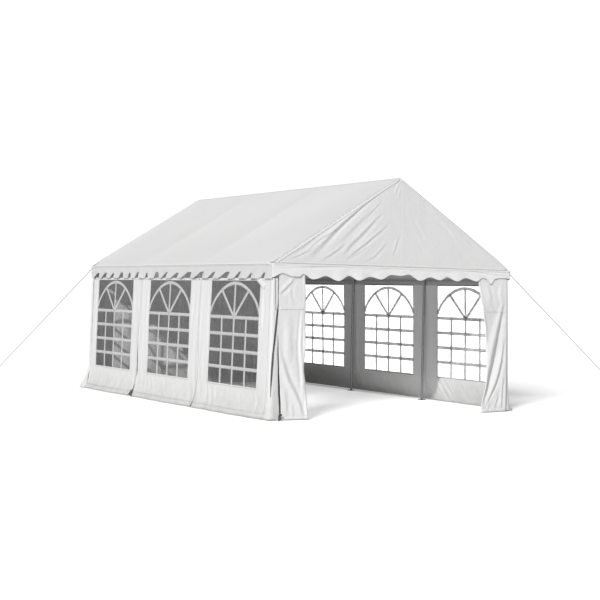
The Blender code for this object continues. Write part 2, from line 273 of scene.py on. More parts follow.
def feed(node, values):
    """Fill in a node's inputs, with numbers or with other nodes' outputs."""
    for key, value in values.items():
        if isinstance(value, Value):
            node.id_data.links.new(value.socket, node.inputs[key])
        else:
            node.inputs[key].default_value = value


def add_node(tree, kind, values=None, **settings):
    """A shader node with its settings and inputs filled in."""
    node = tree.nodes.new(kind)
    for key, value in settings.items():
        setattr(node, key, value)
    feed(node, values or {})
    return node


def noise_of(tree, vector, scale, detail=2.0, roughness=0.5, distortion=0.0):
    """The value of one Noise node."""
    return values_of(add_node(tree, "ShaderNodeTexNoise", {
        "Vector": vector, "Scale": scale, "Detail": detail, "Roughness": roughness,
        "Distortion": distortion}))["Fac"]


def separate(tree, vector):
    """The three parts of a vector."""
    return values_of(add_node(tree, "ShaderNodeSeparateXYZ", {0: vector}))


def effect(name, inputs, outputs):
    """An empty shader node group with named sockets, its inputs and its output node."""
    tree = bpy.data.node_groups.new(name, "ShaderNodeTree")
    for label, kind, default in inputs:
        socket = tree.interface.new_socket(name=label, in_out="INPUT", socket_type=kind)
        if default is not None:
            socket.default_value = default
    for label in outputs:
        tree.interface.new_socket(name=label, in_out="OUTPUT", socket_type=NUMBER)
    given = values_of(tree.nodes.new("NodeGroupInput"))
    return tree, given, tree.nodes.new("NodeGroupOutput")


def make_weave():
    """Crossed threads that follow the cloth's own map."""
    tree, given, result = effect("Woven threads", [
        ("Map", VECTOR, None), ("Pitch", NUMBER, 0.002), ("Depth", NUMBER, 0.0001)], ["Height"])
    split = separate(tree, given["Map"])
    turn = math.pi / given["Pitch"]
    height = (split["X"] * turn).sine() * (split["Y"] * turn).sine() * given["Depth"]
    feed(result, {"Height": height})
    return tree


def make_crumple():
    """Fine creases and soft hollows left in a coated cloth by folding it away."""
    tree, given, result = effect("Cloth crumple", [
        ("Place", VECTOR, None), ("Size", NUMBER, 0.1), ("Depth", NUMBER, 0.001)],
        ["Height", "Tone"])
    place, often = given["Place"], 1.0 / given["Size"]
    soft = noise_of(tree, place, often, detail=3.0, roughness=0.55, distortion=0.6)
    lines = noise_of(tree, place, often * 1.7, detail=1.0, distortion=1.2)
    crease = (1.0 - abs(lines - 0.5)) ** 12.0 * 0.35
    feed(result, {"Height": (soft + crease) * given["Depth"],
                  "Tone": noise_of(tree, place, often * 0.12, detail=4.0)})
    return tree


def make_dust():
    """Dust and splashes near the ground, fading out upwards."""
    tree, given, result = effect("Ground dust", [
        ("Place", VECTOR, None), ("Reach", NUMBER, 0.3), ("Strength", NUMBER, 0.5)], ["Mask"])
    low = (1.0 - separate(tree, given["Place"])["Z"] / given["Reach"]).clamped()
    patch = noise_of(tree, given["Place"], 9.0, detail=5.0, roughness=0.65)
    feed(result, {"Mask": (low ** 2.0 * patch * given["Strength"]).clamped()})
    return tree


def make_stitches():
    """Two rows of stitches along a tape. The map runs along the tape, then across it."""
    tree, given, result = effect("Stitch rows", [
        ("Map", VECTOR, None), ("Half Width", NUMBER, 0.015), ("Inset", NUMBER, 0.004),
        ("Stitch", NUMBER, 0.008)], ["Mask"])
    split = separate(tree, given["Map"])
    on_row = abs(abs(split["Y"]) - (given["Half Width"] - given["Inset"])) < 0.0009
    beat = (split["X"] * (TAU / given["Stitch"])).sine()
    feed(result, {"Mask": on_row * (beat > -0.35)})
    return tree


def make_spangle():
    """The cloudy crystals of a zinc coat."""
    tree, given, result = effect("Zinc spangle", [
        ("Place", VECTOR, None), ("Size", NUMBER, 0.01)], ["Tone", "Height"])
    cells = values_of(add_node(tree, "ShaderNodeTexVoronoi", {
        "Vector": given["Place"], "Scale": 1.0 / given["Size"]}, feature="SMOOTH_F1"))
    grain = noise_of(tree, given["Place"], 60.0, detail=3.0)
    feed(result, {"Tone": (cells["Distance"] + grain) * 0.6, "Height": grain * 0.0004})
    return tree


def principled(name, colour, roughness, metallic=0.0):
    """A material with its Principled shader, and the vectors that its patterns read."""
    material = bpy.data.materials.new(name)
    material.use_nodes = True
    material.diffuse_color = (*colour, 1.0)
    tree = material.node_tree
    shader = tree.nodes["Principled BSDF"]
    feed(shader, {"Base Color": (*colour, 1.0), "Roughness": roughness, "Metallic": metallic})
    places = values_of(tree.nodes.new("ShaderNodeTexCoord"))
    return material, tree, shader, places["Object"], places["UV"]


def use(tree, group, **values):
    """One of the shared effects placed in a material."""
    inputs = {key.replace("_", " "): value for key, value in values.items()}
    return values_of(add_node(tree, "ShaderNodeGroup", inputs, node_tree=GROUPS[group]))


def blend_colours(tree, share, first, second):
    """A colour between two, by a share that changes over the surface."""
    node = add_node(tree, "ShaderNodeMix", {"Factor": share}, data_type="RGBA")
    for key, value in (("A", first), ("B", second)):
        socket = next(s for s in node.inputs if s.name == key and s.type == "RGBA")
        if isinstance(value, Value):
            tree.links.new(value.socket, socket)
        else:
            socket.default_value = (*value, 1.0)
    return Value(next(s for s in node.outputs if s.type == "RGBA"))


def bump(tree, shader, height):
    """Feed a height in metres to a shader's normal."""
    node = add_node(tree, "ShaderNodeBump", {"Height": height, "Strength": 1.0, "Distance": 1.0})
    feed(shader, {"Normal": values_of(node)["Normal"]})


def scaled(colour, factor):
    """A colour made lighter or darker."""
    return tuple(min(1.0, part * factor) for part in colour)


def dusty(tree, place, tone, strength, reach=0.75, dust=DUST_AND_SHADE_COLOUR):
    """A colour with dust on it near the ground."""
    mask = use(tree, "dust", Place=place, Reach=reach, Strength=strength)["Mask"]
    return blend_colours(tree, mask, tone, dust)


def cloth_finish(name, colour, crumple_size, crumple_depth, dust, weave_pitch):
    """Coated woven cloth: threads, crumples, a little change of tone and dust at the foot."""
    material, tree, shader, place, cloth_map = principled(name, colour, 0.52)
    crumple = use(tree, "crumple", Place=place, Size=crumple_size, Depth=crumple_depth)
    weave = use(tree, "weave", Map=cloth_map, Pitch=weave_pitch, Depth=0.00004)
    tone = blend_colours(tree, crumple["Tone"], scaled(colour, 0.965), scaled(colour, 1.02))
    feed(shader, {"Base Color": dusty(tree, place, tone, dust), "Specular IOR Level": 0.32,
                  "Roughness": crumple["Tone"] * 0.16 + 0.44, "Sheen Weight": 0.05})
    bump(tree, shader, crumple["Height"] + weave["Height"])
    return material


def tape_finish(name, colour, half_width, weave_pitch, dust=0.0, cover=1.0):
    """Hem tape or welded bar: fine weave with two rows of stitches. cover is how much of what lies
    behind it each face hides."""
    material, tree, shader, place, cloth_map = principled(name, colour, 0.5)
    weave = use(tree, "weave", Map=cloth_map, Pitch=weave_pitch, Depth=0.00006)
    stitches = use(tree, "stitches", Map=cloth_map, Half_Width=half_width, Inset=0.004,
                   Stitch=0.008)["Mask"]
    crumple = use(tree, "crumple", Place=place, Size=0.05, Depth=0.0008)
    tone = blend_colours(tree, crumple["Tone"], scaled(colour, 0.96), scaled(colour, 1.02))
    tone = blend_colours(tree, stitches, tone, scaled(colour, 0.86))
    feed(shader, {"Base Color": dusty(tree, place, tone, dust), "Alpha": cover,
                  "Roughness": stitches * 0.2 + 0.46})
    bump(tree, shader, crumple["Height"] + weave["Height"] - stitches * 0.0004)
    return material


def film_finish(name, colour, cover):
    """Clear flexible film with soft waves and milky scuffs."""
    material, tree, shader, place, _ = principled(name, colour, 0.14)
    crumple = use(tree, "crumple", Place=place, Size=0.22, Depth=0.006)
    cloud = noise_of(tree, place, 3.2, detail=5.0, roughness=0.6, distortion=1.4)
    grain = noise_of(tree, place, 16.0, detail=4.0, roughness=0.7, distortion=0.8)
    scuff = ((cloud * grain - 0.2) * 3.6).clamped()
    haze = scuff * (cover * 1.1) + cover * 0.75
    shadow = values_of(add_node(tree, "ShaderNodeLightPath"))["Is Shadow Ray"]
    feed(shader, {"Base Color": blend_colours(tree, scuff, colour, (0.26, 0.26, 0.263)),
                  "Alpha": haze * (1.0 - shadow * 0.85), "Roughness": scuff * 0.3 + 0.08,
                  "IOR": 1.46})
    bump(tree, shader, crumple["Height"])
    return material


def steel_finish(name, colour, roughness, spangle):
    """Zinc-coated steel with cloudy crystals and a dusty foot."""
    material, tree, shader, place, _ = principled(name, colour, roughness, metallic=0.85)
    zinc = use(tree, "spangle", Place=place, Size=spangle)
    tone = blend_colours(tree, zinc["Tone"], scaled(colour, 0.72), scaled(colour, 1.25))
    feed(shader, {"Base Color": dusty(tree, place, tone, 0.9, 0.12, (0.3, 0.27, 0.23)),
                  "Roughness": zinc["Tone"] * 0.2 + (roughness - 0.1)})
    bump(tree, shader, zinc["Height"])
    return material


def rope_finish(name, colour, turn, strand):
    """Braided cord: crossing strands that follow the cord."""
    material, tree, shader, _, cloth_map = principled(name, colour, 0.8)
    split = separate(tree, cloth_map)
    along, around = split["X"] * (TAU / strand), split["Y"] * (TAU / turn)
    left, right = (along + around).sine(), (along - around).sine()
    braid = left.math("MAXIMUM", left, right)
    # The strands' colour darkens in the grooves between them: painted shade.
    share = (braid * 0.5 + 0.5).clamped()
    feed(shader, {"Base Color": blend_colours(tree, share, scaled(colour, 0.7),
                                              scaled(colour, 1.1))})
    bump(tree, shader, braid * 0.0004)
    return material


def make_finishes():
    """Build the shared effects and every material of the tent."""
    scene = bpy.context.scene
    cloth, windows, steel = scene.tent_cloth, scene.tent_windows, scene.tent_steel
    roof, wall, tape_white = (tuple(colour) for colour in (cloth.roof_colour, cloth.wall_colour,
                                                           cloth.tape_colour))
    zinc, weave, fine = tuple(steel.steel_colour), cloth.weave, cloth.weave * 0.6
    GROUPS.update(weave=make_weave(), crumple=make_crumple(), dust=make_dust(),
                  stitches=make_stitches(), spangle=make_spangle())
    FINISHES.update(
        roof=cloth_finish("roof_cloth", roof, 0.16, 0.0035, 0.0, weave),
        # The gables take the roof cloth a little darker: painted shade.
        gable=cloth_finish("gable_cloth", scaled(roof, 0.955), 0.16, 0.0035, 0.0, weave),
        valance=cloth_finish("valance_cloth", tuple(cloth.strip_colour), 0.06, 0.004, 0.0, weave),
        # The side strips take the same cloth much darker: painted shade.
        side_valance=cloth_finish("side_valance_cloth", tuple(cloth.side_strip_colour), 0.06,
                                  0.005, 0.0, weave),
        # Walls and their hems darken most towards the ground: dust with painted shade.
        wall=cloth_finish("wall_cloth", wall, 0.12, 0.004, 1.0, weave),
        # The doors and flaps take the wall cloth lighter, with less darkening at the foot: painted
        # light.
        door=cloth_finish("door_cloth", tuple(cloth.door_colour), 0.12, 0.004, 0.15, weave),
        # Dark zip tape. At the front corner and the left joints it also stands in for shadow lines
        # and shade in the gaps.
        zip=tape_finish("dark_zip_and_shadow_tape", (0.085, 0.085, 0.086), 0.012, 0.004),
        tape=tape_finish("hem_tape", tape_white, 0.015, fine),
        hem=tape_finish("wall_hem", wall, 0.015, fine, dust=1.0),
        # A darker copy of the wall cloth for the walls' inner face above the windows: painted shade
        # under the valance.
        header=tape_finish("header_band", scaled(wall, 0.58), 0.04, weave),
        bar=tape_finish("window_bar", scaled(tape_white, 0.93), windows.bar / 2, fine,
                        cover=windows.bar_cover),
        film=film_finish("window_film", tuple(windows.film_colour), windows.cover),
        steel=steel_finish("galvanised_tube", zinc, 0.42, 0.012),
        fitting=steel_finish("galvanised_fitting", scaled(zinc, 0.9), 0.5, 0.008),
        bolt=steel_finish("dark_bolt", tuple(steel.bolt_colour), 0.5, 0.004),
        rope=rope_finish("guy_rope", tuple(steel.rope_colour), 0.0125, 0.009),
        elastic=rope_finish("elastic_cord", (0.78, 0.78, 0.77), 0.008, 0.005),
        knob=tape_finish("moulded_ball", (0.62, 0.62, 0.61), 0.1, 0.004),
    )


# Mesh tools

# Lines of (value, result) points for between(): nothing throughout, and a tape of even width
NO_CHANGE = [(0.0, 0.0)]
EVEN_WIDTH = ((0.0, 1.0), (1.0, 1.0))


def spread(first, last, step):
    """Even values from first to last, about a step apart."""
    count = max(1, round(abs(last - first) / step))
    return [first + (last - first) * i / count for i in range(count + 1)]


def chain(*runs):
    """Runs of values joined end to end, each shared value kept once."""
    values = list(runs[0])
    for run in runs[1:]:
        values += run[1:]
    return values


def ease(low, high, value):
    """0 below low, 1 above high, and a soft rise between."""
    share = min(max((value - low) / (high - low), 0.0), 1.0)
    return share * share * (3 - 2 * share)


def between(points, value):
    """Read a line of (value, result) points, smoothly."""
    if value <= points[0][0]:
        return points[0][1]
    for (low, first), (high, second) in zip(points, points[1:]):
        if value <= high:
            return first + (second - first) * ease(low, high, value)
    return points[-1][1]


def uneven(u, v, size, seed):
    """A soft unevenness over a cloth, from about -1 to 1."""
    return noise.noise(Vector((u / size, v / size, seed)))


class Fold:
    """A crease that runs down a cloth, with a ridge on its near side and a valley beyond it.

    The points run from its top to its foot, and so do the half widths when there are several.
    """

    def __init__(self, points, widths, depth):
        self.parts, self.total = [], 0.0
        for start, end in zip(points, points[1:]):
            length = math.dist(start, end)
            heading = ((end[0] - start[0]) / length, (end[1] - start[1]) / length)
            self.parts.append((start, heading, length, self.total))
            self.total += length
        self.widths = widths if isinstance(widths, tuple) else (widths, widths)
        self.depth = depth
        reach = 3.2 * max(self.widths)
        self.low = [min(p[i] for p in points) - reach for i in (0, 1)]
        self.high = [max(p[i] for p in points) + reach for i in (0, 1)]

    def height(self, u, v):
        """How far the cloth stands out at a point."""
        if not (self.low[0] < u < self.high[0] and self.low[1] < v < self.high[1]):
            return 0.0
        nearest, side, share = math.inf, 0.0, 0.0
        for (start_u, start_v), (head_u, head_v), length, walked in self.parts:
            away_u, away_v = u - start_u, v - start_v
            along = min(max(away_u * head_u + away_v * head_v, 0.0), length)
            gap = math.hypot(away_u - head_u * along, away_v - head_v * along)
            if gap < nearest:
                nearest, side = gap, head_u * away_v - head_v * away_u
                share = min((walked + along) / self.total, 1.0)
        step = share * (len(self.widths) - 1)
        first = min(int(step), len(self.widths) - 2)
        width = self.widths[first] + (self.widths[first + 1] - self.widths[first]) * (step - first)
        offset = math.copysign(nearest, side) / width
        taper = math.sin(math.pi * share) ** 0.7 if 0.0 < share < 1.0 else 0.0
        return -self.depth * taper * offset * math.exp(0.5 - offset * offset / 2)


def folded(folds, u, v):
    """The height of all folds of a cloth at a point."""
    return sum(fold.height(u, v) for fold in folds)


def edges_of(verts):
    """Every edge at some points of a mesh."""
    return list({edge for vert in verts for edge in vert.link_edges})


def faces_of(verts):
    """Every face at some points of a mesh."""
    return list({face for vert in verts for face in vert.link_faces})


def grid(bm, columns, rows, place, outward, keep=None):
    """Add a sheet to a bmesh: columns and rows are metres on the cloth, place puts a point of it
    on the tent, and outward is the side that its faces look to."""
    across, down = len(columns) - 1, len(rows) - 1
    made = bmesh.ops.create_grid(bm, x_segments=across, y_segments=down, size=0.5)["verts"]
    left, right = min(v.co.x for v in made), max(v.co.x for v in made)
    low, high = min(v.co.y for v in made), max(v.co.y for v in made)
    flat = {}
    for vert in made:
        i = round((vert.co.x - left) / (right - left) * across)
        j = round((vert.co.y - low) / (high - low) * down)
        flat[vert] = (columns[i], rows[j])
    faces = faces_of(made)
    if keep:
        gone = {f for f in faces if not keep(*(sum(flat[v][i] for v in f.verts) / len(f.verts)
                                               for i in (0, 1)))}
        faces = [f for f in faces if f not in gone]
        bmesh.ops.delete(bm, geom=list(gone), context="FACES")
    uv = bm.loops.layers.uv.active or bm.loops.layers.uv.new("cloth")
    for vert, (u, v) in flat.items():
        if vert.is_valid:
            vert.co = place(u, v)
    facing = Vector()
    for face in faces:
        face.normal_update()
        facing += face.normal * face.calc_area()
        for loop in face.loops:
            loop[uv].uv = flat[loop.vert]
        face.smooth = True
    if facing.dot(Vector(outward)) < 0:
        bmesh.ops.reverse_faces(bm, faces=faces)
    return [vert for vert in made if vert.is_valid]


def finished(name, bm, finish, thick=None, instead_of=None):
    """Turn a bmesh into a piece of the tent that rides on its body, and may replace a node."""
    mesh = bpy.data.meshes.new(name)
    bm.to_mesh(mesh)
    bm.free()
    mesh.materials.append(FINISHES[finish])
    piece = bpy.data.objects.new(name, mesh)
    bpy.context.scene.collection.objects.link(piece)
    if thick:
        layer = piece.modifiers.new("Thickness", "SOLIDIFY")
        layer.thickness, layer.offset = thick, -1.0
        layer.use_even_offset = False
    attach(piece, "root")
    if instead_of:
        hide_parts(instead_of)
    return piece


def lay(name, columns, rows, place, outward, finish, instead_of, thick=None, keep=None):
    """One cloth piece over a grid, in place of a node."""
    bm = bmesh.new()
    grid(bm, columns, rows, place, outward, keep)
    return finished(name, bm, finish, thick or bpy.context.scene.tent_cloth.thickness,
                    instead_of)


def facing_at(surface, u, v, outward):
    """The outward direction of a surface at a point of its cloth."""
    step = 0.004
    here = surface(u, v)
    normal = (surface(u + step, v) - here).cross(surface(u, v + step) - here)
    if normal.length < 1e-12:
        return Vector(outward)
    normal.normalize()
    return normal if normal.dot(Vector(outward)) > 0 else -normal


def tape(bm, path, half_width, surface, outward, lift=0.0016, strips=2, widths=EVEN_WIDTH):
    """Sew a tape on a surface: path is a line of points on the cloth, in metres. widths gives
    the share of its half width at each share of its length."""
    lookup, walked = {}, 0.0
    for index, point in enumerate(path):
        before, after = path[max(index - 1, 0)], path[min(index + 1, len(path) - 1)]
        if index:
            walked += math.dist(before, point)
        lookup[walked] = (point, Vector((after[0] - before[0], after[1] - before[1])).normalized())

    def put(along, across):
        (u, v), heading = lookup[along]
        across *= between(widths, along / walked)
        u, v = u - heading.y * across, v + heading.x * across
        return surface(u, v) + facing_at(surface, u, v, outward) * lift

    rows = [half_width * (2 * i / strips - 1) for i in range(strips + 1)]
    grid(bm, list(lookup), rows, put, outward)


def sewn(name, finish, thick, surface, outward, lines):
    """A piece of tapes on one surface. A line holds its path and half width, and then its lift
    and strips where they aren't the plain ones."""
    bm = bmesh.new()
    for path, half_width, *rest in lines:
        tape(bm, path, half_width, surface, outward, *rest)
    return finished(name, bm, finish, thick)


def straight(start, end, step=0.02):
    """A line of points between two points of a cloth."""
    count = max(1, round(math.dist(start, end) / step))
    return [(start[0] + (end[0] - start[0]) * i / count, start[1] + (end[1] - start[1]) * i / count)
            for i in range(count + 1)]


def level_line(start, end, v, step=0.02):
    """A line of points across a cloth."""
    return straight((start, v), (end, v), step)


def upright_line(u, start, end, step=0.02):
    """A line of points up or down a cloth."""
    return straight((u, start), (u, end), step)


def run_through(points, step=0.03):
    """A line of even points through the given ones."""
    return chain(*(straight(a, b, step) for a, b in zip(points, points[1:])))


def sweep(bm, points, radius, sides, closed=False):
    """Add a round bar or cord that follows points. radius is one value, or one for each point."""
    points = [Vector(p) for p in points]
    if closed:
        points.append(points[0].copy())
    last = len(points) - 1
    radii = radius if isinstance(radius, (list, tuple)) else [radius] * len(points)
    lengths, across = [0.0], []
    for before, after in zip(points, points[1:]):
        lengths.append(lengths[-1] + (after - before).length)
    tangents = [(points[min(i + 1, last)] - points[max(i - 1, 0)]).normalized()
                for i in range(last + 1)]
    if closed:
        tangents[0] = tangents[-1] = (points[1] - points[-2]).normalized()
    side = tangents[0].orthogonal().normalized()
    for before, tangent in zip([tangents[0]] + tangents, tangents):
        side = before.rotation_difference(tangent) @ side
        side = (side - tangent * side.dot(tangent)).normalized()
        across.append((side.copy(), tangent.cross(side)))
    if closed:
        across[-1] = across[0]
    girth = TAU * max(radii)
    index_of = {length: i for i, length in enumerate(lengths)}

    def put(along, around):
        i = index_of[along]
        angle = TAU * around / girth
        first, second = across[i]
        return points[i] + (first * math.cos(angle) + second * math.sin(angle)) * radii[i]

    made = grid(bm, lengths, [girth * i / sides for i in range(sides + 1)], put, UP)
    bmesh.ops.remove_doubles(bm, verts=made, dist=1e-6)
    made = [v for v in made if v.is_valid]
    rims = [edge for edge in edges_of(made) if edge.is_boundary]
    if rims:
        bmesh.ops.holes_fill(bm, edges=rims, sides=0)
    faces = faces_of(made)
    bmesh.ops.recalc_face_normals(bm, faces=faces)
    for face in faces:
        face.smooth = len(face.verts) == 4
    return made


def rounded(bm, edges, offset, segments):
    """Round some edges of a block."""
    bmesh.ops.bevel(bm, geom=edges, offset=offset, affect="EDGES", segments=segments, profile=0.5,
                    material=-1)


def block(bm, place, size, turn=Matrix.Identity(4)):
    """Add a box and return its corners."""
    matrix = Matrix.Translation(place) @ turn @ Matrix.Diagonal((*size, 1.0))
    return bmesh.ops.create_cube(bm, size=1.0, matrix=matrix)["verts"]


def hexagon_bolt(bm, place, heading, size=BOLT, shank=0.012):
    """A hexagon head on a washer, standing on a surface."""
    turn = Vector(heading).to_track_quat("Z", "Y").to_matrix().to_4x4()
    for radius, depth, rise, segments in ((size * 1.15, 0.0015, 0.0, 20),
                                          (size, 0.007, 0.0042, 6),
                                          (size * 0.5, shank, 0.004, 12)):
        matrix = Matrix.Translation(place) @ turn @ Matrix.Translation((0, 0, rise))
        made = bmesh.ops.create_cone(bm, cap_ends=True, segments=segments, radius1=radius,
                                     radius2=radius, depth=depth, matrix=matrix)["verts"]
        rims = [e for e in edges_of(made) if e.is_manifold and e.calc_face_angle(0) > 1.2]
        rounded(bm, rims, radius * 0.06, 1)


def circle(centre, radius, steps, wave=0.0, beats=1):
    """Points round a level circle, which may rise and fall a little."""
    angles = [TAU * i / steps for i in range(steps)]
    return [centre + Vector((math.cos(angle) * radius, math.sin(angle) * radius,
                             wave * math.sin(angle * beats))) for angle in angles]


def ring(bm, place, heading, radius, wire, sides=10, steps=20):
    """A round wire ring or a pressed eyelet."""
    turn = Vector(heading).to_track_quat("Z", "Y")
    points = [Vector(place) + turn @ point for point in circle(Vector(), radius, steps)]
    sweep(bm, points, wire, sides, closed=True)


# Roof

def bay_share(y):
    """How far y lies through its bay, from 0 to 1."""
    for first, second in zip(FRAME_Y, FRAME_Y[1:]):
        if first <= y <= second:
            return (y - first) / (second - first)
    return 0.0


def roof_surface(y, run):
    """The roof's upper face. run is the distance down the cloth from the ridge, left of it
    negative. Past the eave the cloth turns down in a short lip."""
    slope_run = ROOF_EDGE / math.cos(PITCH)
    side = -1 if run < 0 else 1
    past = max(abs(run) - slope_run, 0.0)
    x = min(abs(run), slope_run) * math.cos(PITCH)
    share = bay_share(y)
    hang = 4 * share * (1 - share)
    down = math.sin(math.pi * min(x / HALF_W, 1.0)) ** 0.8
    sag = bpy.context.scene.tent_cloth.sag * hang ** 0.92 * down + corner_drop(x, y)
    ripple = 0.0016 * uneven(y * 0.7, run * 2.2, 0.35, 3.1) * ease(0.0, 0.25, ROOF_EDGE - x)
    packed = sum(depth * math.exp(-((x - line) / 0.012) ** 2)
                 for line, depth in ((0.62, 0.0009), (1.24, 0.0012), (1.86, 0.0008)))
    z = RIDGE - 0.0004 - SLOPE * math.hypot(x, 0.006) - sag + (ripple - packed) * hang
    out = 0.0
    if past:
        turn = min(past / 0.008, 1.0) * (math.pi / 2 - PITCH)
        out = 0.0065 * math.sin(turn)
        z -= past * math.sin(PITCH + turn / 2)
    return Vector((side * (x + out), y, z))


def build_roof():
    """The roof cover in one cloth, with its end hems and the linings under its rafters."""
    cloth = bpy.context.scene.tent_cloth
    slope_run = ROOF_EDGE / math.cos(PITCH)
    columns = chain(spread(-HALF_L, FRAME_Y[0] + 0.03, 0.02),
                    *(spread(a + 0.03 * (i == 0), b - 0.03 * (i == 2), ROOF_STEP)
                      for i, (a, b) in enumerate(zip(FRAME_Y, FRAME_Y[1:]))),
                    spread(FRAME_Y[-1] - 0.03, HALF_L, 0.02))
    half = chain(spread(0.0, slope_run, ROOF_STEP), spread(slope_run, slope_run + LIP, 0.003))
    rows = [-v for v in reversed(half)] + half[1:]
    cover = lay("roof_cloth_cover", columns, rows, roof_surface, UP, "roof",
                "roof_cover")
    reach = slope_run - 0.004
    hems = sewn("roof_end_hems", "tape", cloth.thickness * 0.4, roof_surface, UP,
                [(upright_line(y, side * 0.01, side * reach, 0.03), 0.017, 0.0006)
                 for y in (-HALF_L + 0.022, HALF_L - 0.022) for side in (-1, 1)])
    linings = sewn("roof_rafter_linings", "tape", cloth.thickness * 0.4,
                   roof_surface, -UP,
                   [(upright_line(y, side * 0.03, side * (reach - 0.06), 0.04), 0.02,
                     cloth.thickness + 0.0002) for y in FRAME_Y[1:-1] for side in (-1, 1)])


# Gables

FRONT_GABLE_FOLDS = [
    Fold([(-0.36, 3.005), (-0.636, 2.817), (-0.899, 2.615), (-1.08, 2.453), (-1.26, 2.28),
          (-1.44, 2.13)], (0.014, 0.017, 0.024, 0.034, 0.05), 0.015),
    Fold([(-0.3, 2.92), (-0.42, 2.81), (-0.56, 2.68)], 0.014, 0.005),
    Fold([(-0.28, 2.77), (-0.494, 2.579), (-0.679, 2.404), (-0.811, 2.288), (-0.91, 2.16)],
         (0.016, 0.022, 0.028), 0.0095),
    Fold([(-0.17, 2.63), (-0.314, 2.508), (-0.449, 2.413), (-0.555, 2.331), (-0.755, 2.189),
          (-0.89, 2.1)], (0.013, 0.018, 0.024), 0.0085),
    Fold([(-0.87, 2.335), (-1.02, 2.22), (-1.24, 2.09)], 0.018, 0.0065),
    Fold([(-1.02, 2.52), (-1.15, 2.44), (-1.28, 2.37), (-1.46, 2.23)], 0.016, 0.0055),
    Fold([(-0.2, 2.37), (-0.3, 2.26), (-0.4, 2.165), (-0.55, 2.1)], 0.016, 0.006),
    Fold([(-0.01, 2.44), (-0.05, 2.31), (-0.1, 2.18)], 0.015, 0.0055),
    Fold([(-0.02, 3.22), (-0.07, 3.17), (-0.13, 3.1)], 0.012, 0.0065),
    Fold([(0.0, 3.19), (-0.04, 3.11), (-0.07, 3.02)], 0.011, 0.0055),
    Fold([(0.02, 3.15), (0.0, 3.06), (-0.01, 2.95)], 0.011, 0.0035),
    Fold([(-0.46, 2.8), (-0.72, 2.56), (-0.98, 2.33)], 0.026, 0.0045),
    Fold([(-0.4, 2.64), (-0.56, 2.48), (-0.7, 2.34)], 0.016, 0.0045),
    Fold([(-0.52, 2.3), (-0.66, 2.2), (-0.8, 2.13)], 0.014, 0.004),
    Fold([(-0.7, 2.74), (-0.92, 2.56), (-1.12, 2.38)], 0.014, 0.0035),
    Fold([(-1.3, 2.42), (-1.52, 2.27), (-1.72, 2.15)], 0.018, 0.0045),
    Fold([(-1.4, 2.24), (-1.56, 2.16), (-1.72, 2.1)], 0.014, 0.0045),
    Fold([(0.5, 2.83), (0.7, 2.7), (0.9, 2.54), (1.02, 2.4)], 0.024, -0.005),
    Fold([(0.26, 2.68), (0.36, 2.56), (0.47, 2.42)], 0.022, -0.004),
    Fold([(0.3, 2.42), (0.42, 2.3), (0.6, 2.22)], 0.024, -0.003),
    Fold([(1.02, 2.3), (1.2, 2.22), (1.36, 2.14)], 0.022, -0.0035),
    Fold([(0.86, 2.66), (1.16, 2.46), (1.44, 2.28)], 0.022, 0.003),
]
REAR_GABLE_FOLDS = [
    Fold([(0.4, 2.95), (0.75, 2.66), (1.1, 2.36), (1.36, 2.16)], (0.02, 0.045), -0.008),
    Fold([(0.25, 2.76), (0.52, 2.5), (0.8, 2.24)], 0.024, -0.006),
    Fold([(-0.35, 2.92), (-0.7, 2.62), (-1.0, 2.34)], (0.018, 0.04), 0.006),
    Fold([(-0.2, 2.6), (-0.42, 2.38), (-0.62, 2.16)], 0.022, 0.005),
    Fold([(-0.9, 2.52), (-1.2, 2.32), (-1.5, 2.16)], 0.024, 0.005),
]
GABLE_HALF = HALF_W - 0.03
GABLE_LOW = VALANCE_TOP + SEAM_GAP


def corner_drop(x, y):
    """How far the cover sinks where it is pulled over a corner of the roof."""
    return 0.02 * ease(1.72, 2.0, abs(x)) ** 2 * ease(HALF_L - 0.16, HALF_L, abs(y))


def gable_high(x):
    """Height of the gable cloth's upper edge."""
    cloth_high = RIDGE - CLOTH_ROOM / math.cos(PITCH) - SLOPE * abs(x)
    return cloth_high - SEAM_GAP - corner_drop(x, HALF_L)


def gable_surface(facing, folds):
    """The placing function of a gable's outer face, over x and height."""
    fold_share = bpy.context.scene.tent_cloth.fold

    def surface(x, z):
        rise = gable_high(x) - z
        share = min(max((z - GABLE_LOW) / max(gable_high(x) - GABLE_LOW, 1e-4), 0.0), 1.0)
        bulge = 0.012 * math.sin(math.pi * share) * math.cos(math.pi * x / (2 * GABLE_HALF))
        hold = ease(0.0, 0.06, rise) * ease(0.0, 0.05, z - GABLE_LOW)
        creases = folded(folds, x, z) + 0.0018 * uneven(x, z, 0.13, 7.7 + facing)
        creases += 0.0022 * uneven(x * 0.5 + z, z - x * 0.5, 0.3, 2.4)
        seam = 0.0015 * math.exp(-((x - 0.06) / 0.012) ** 2)
        out = HALF_L - 0.0004 + bulge + (creases * fold_share + seam) * hold
        return Vector((x, facing * out, z))

    return surface


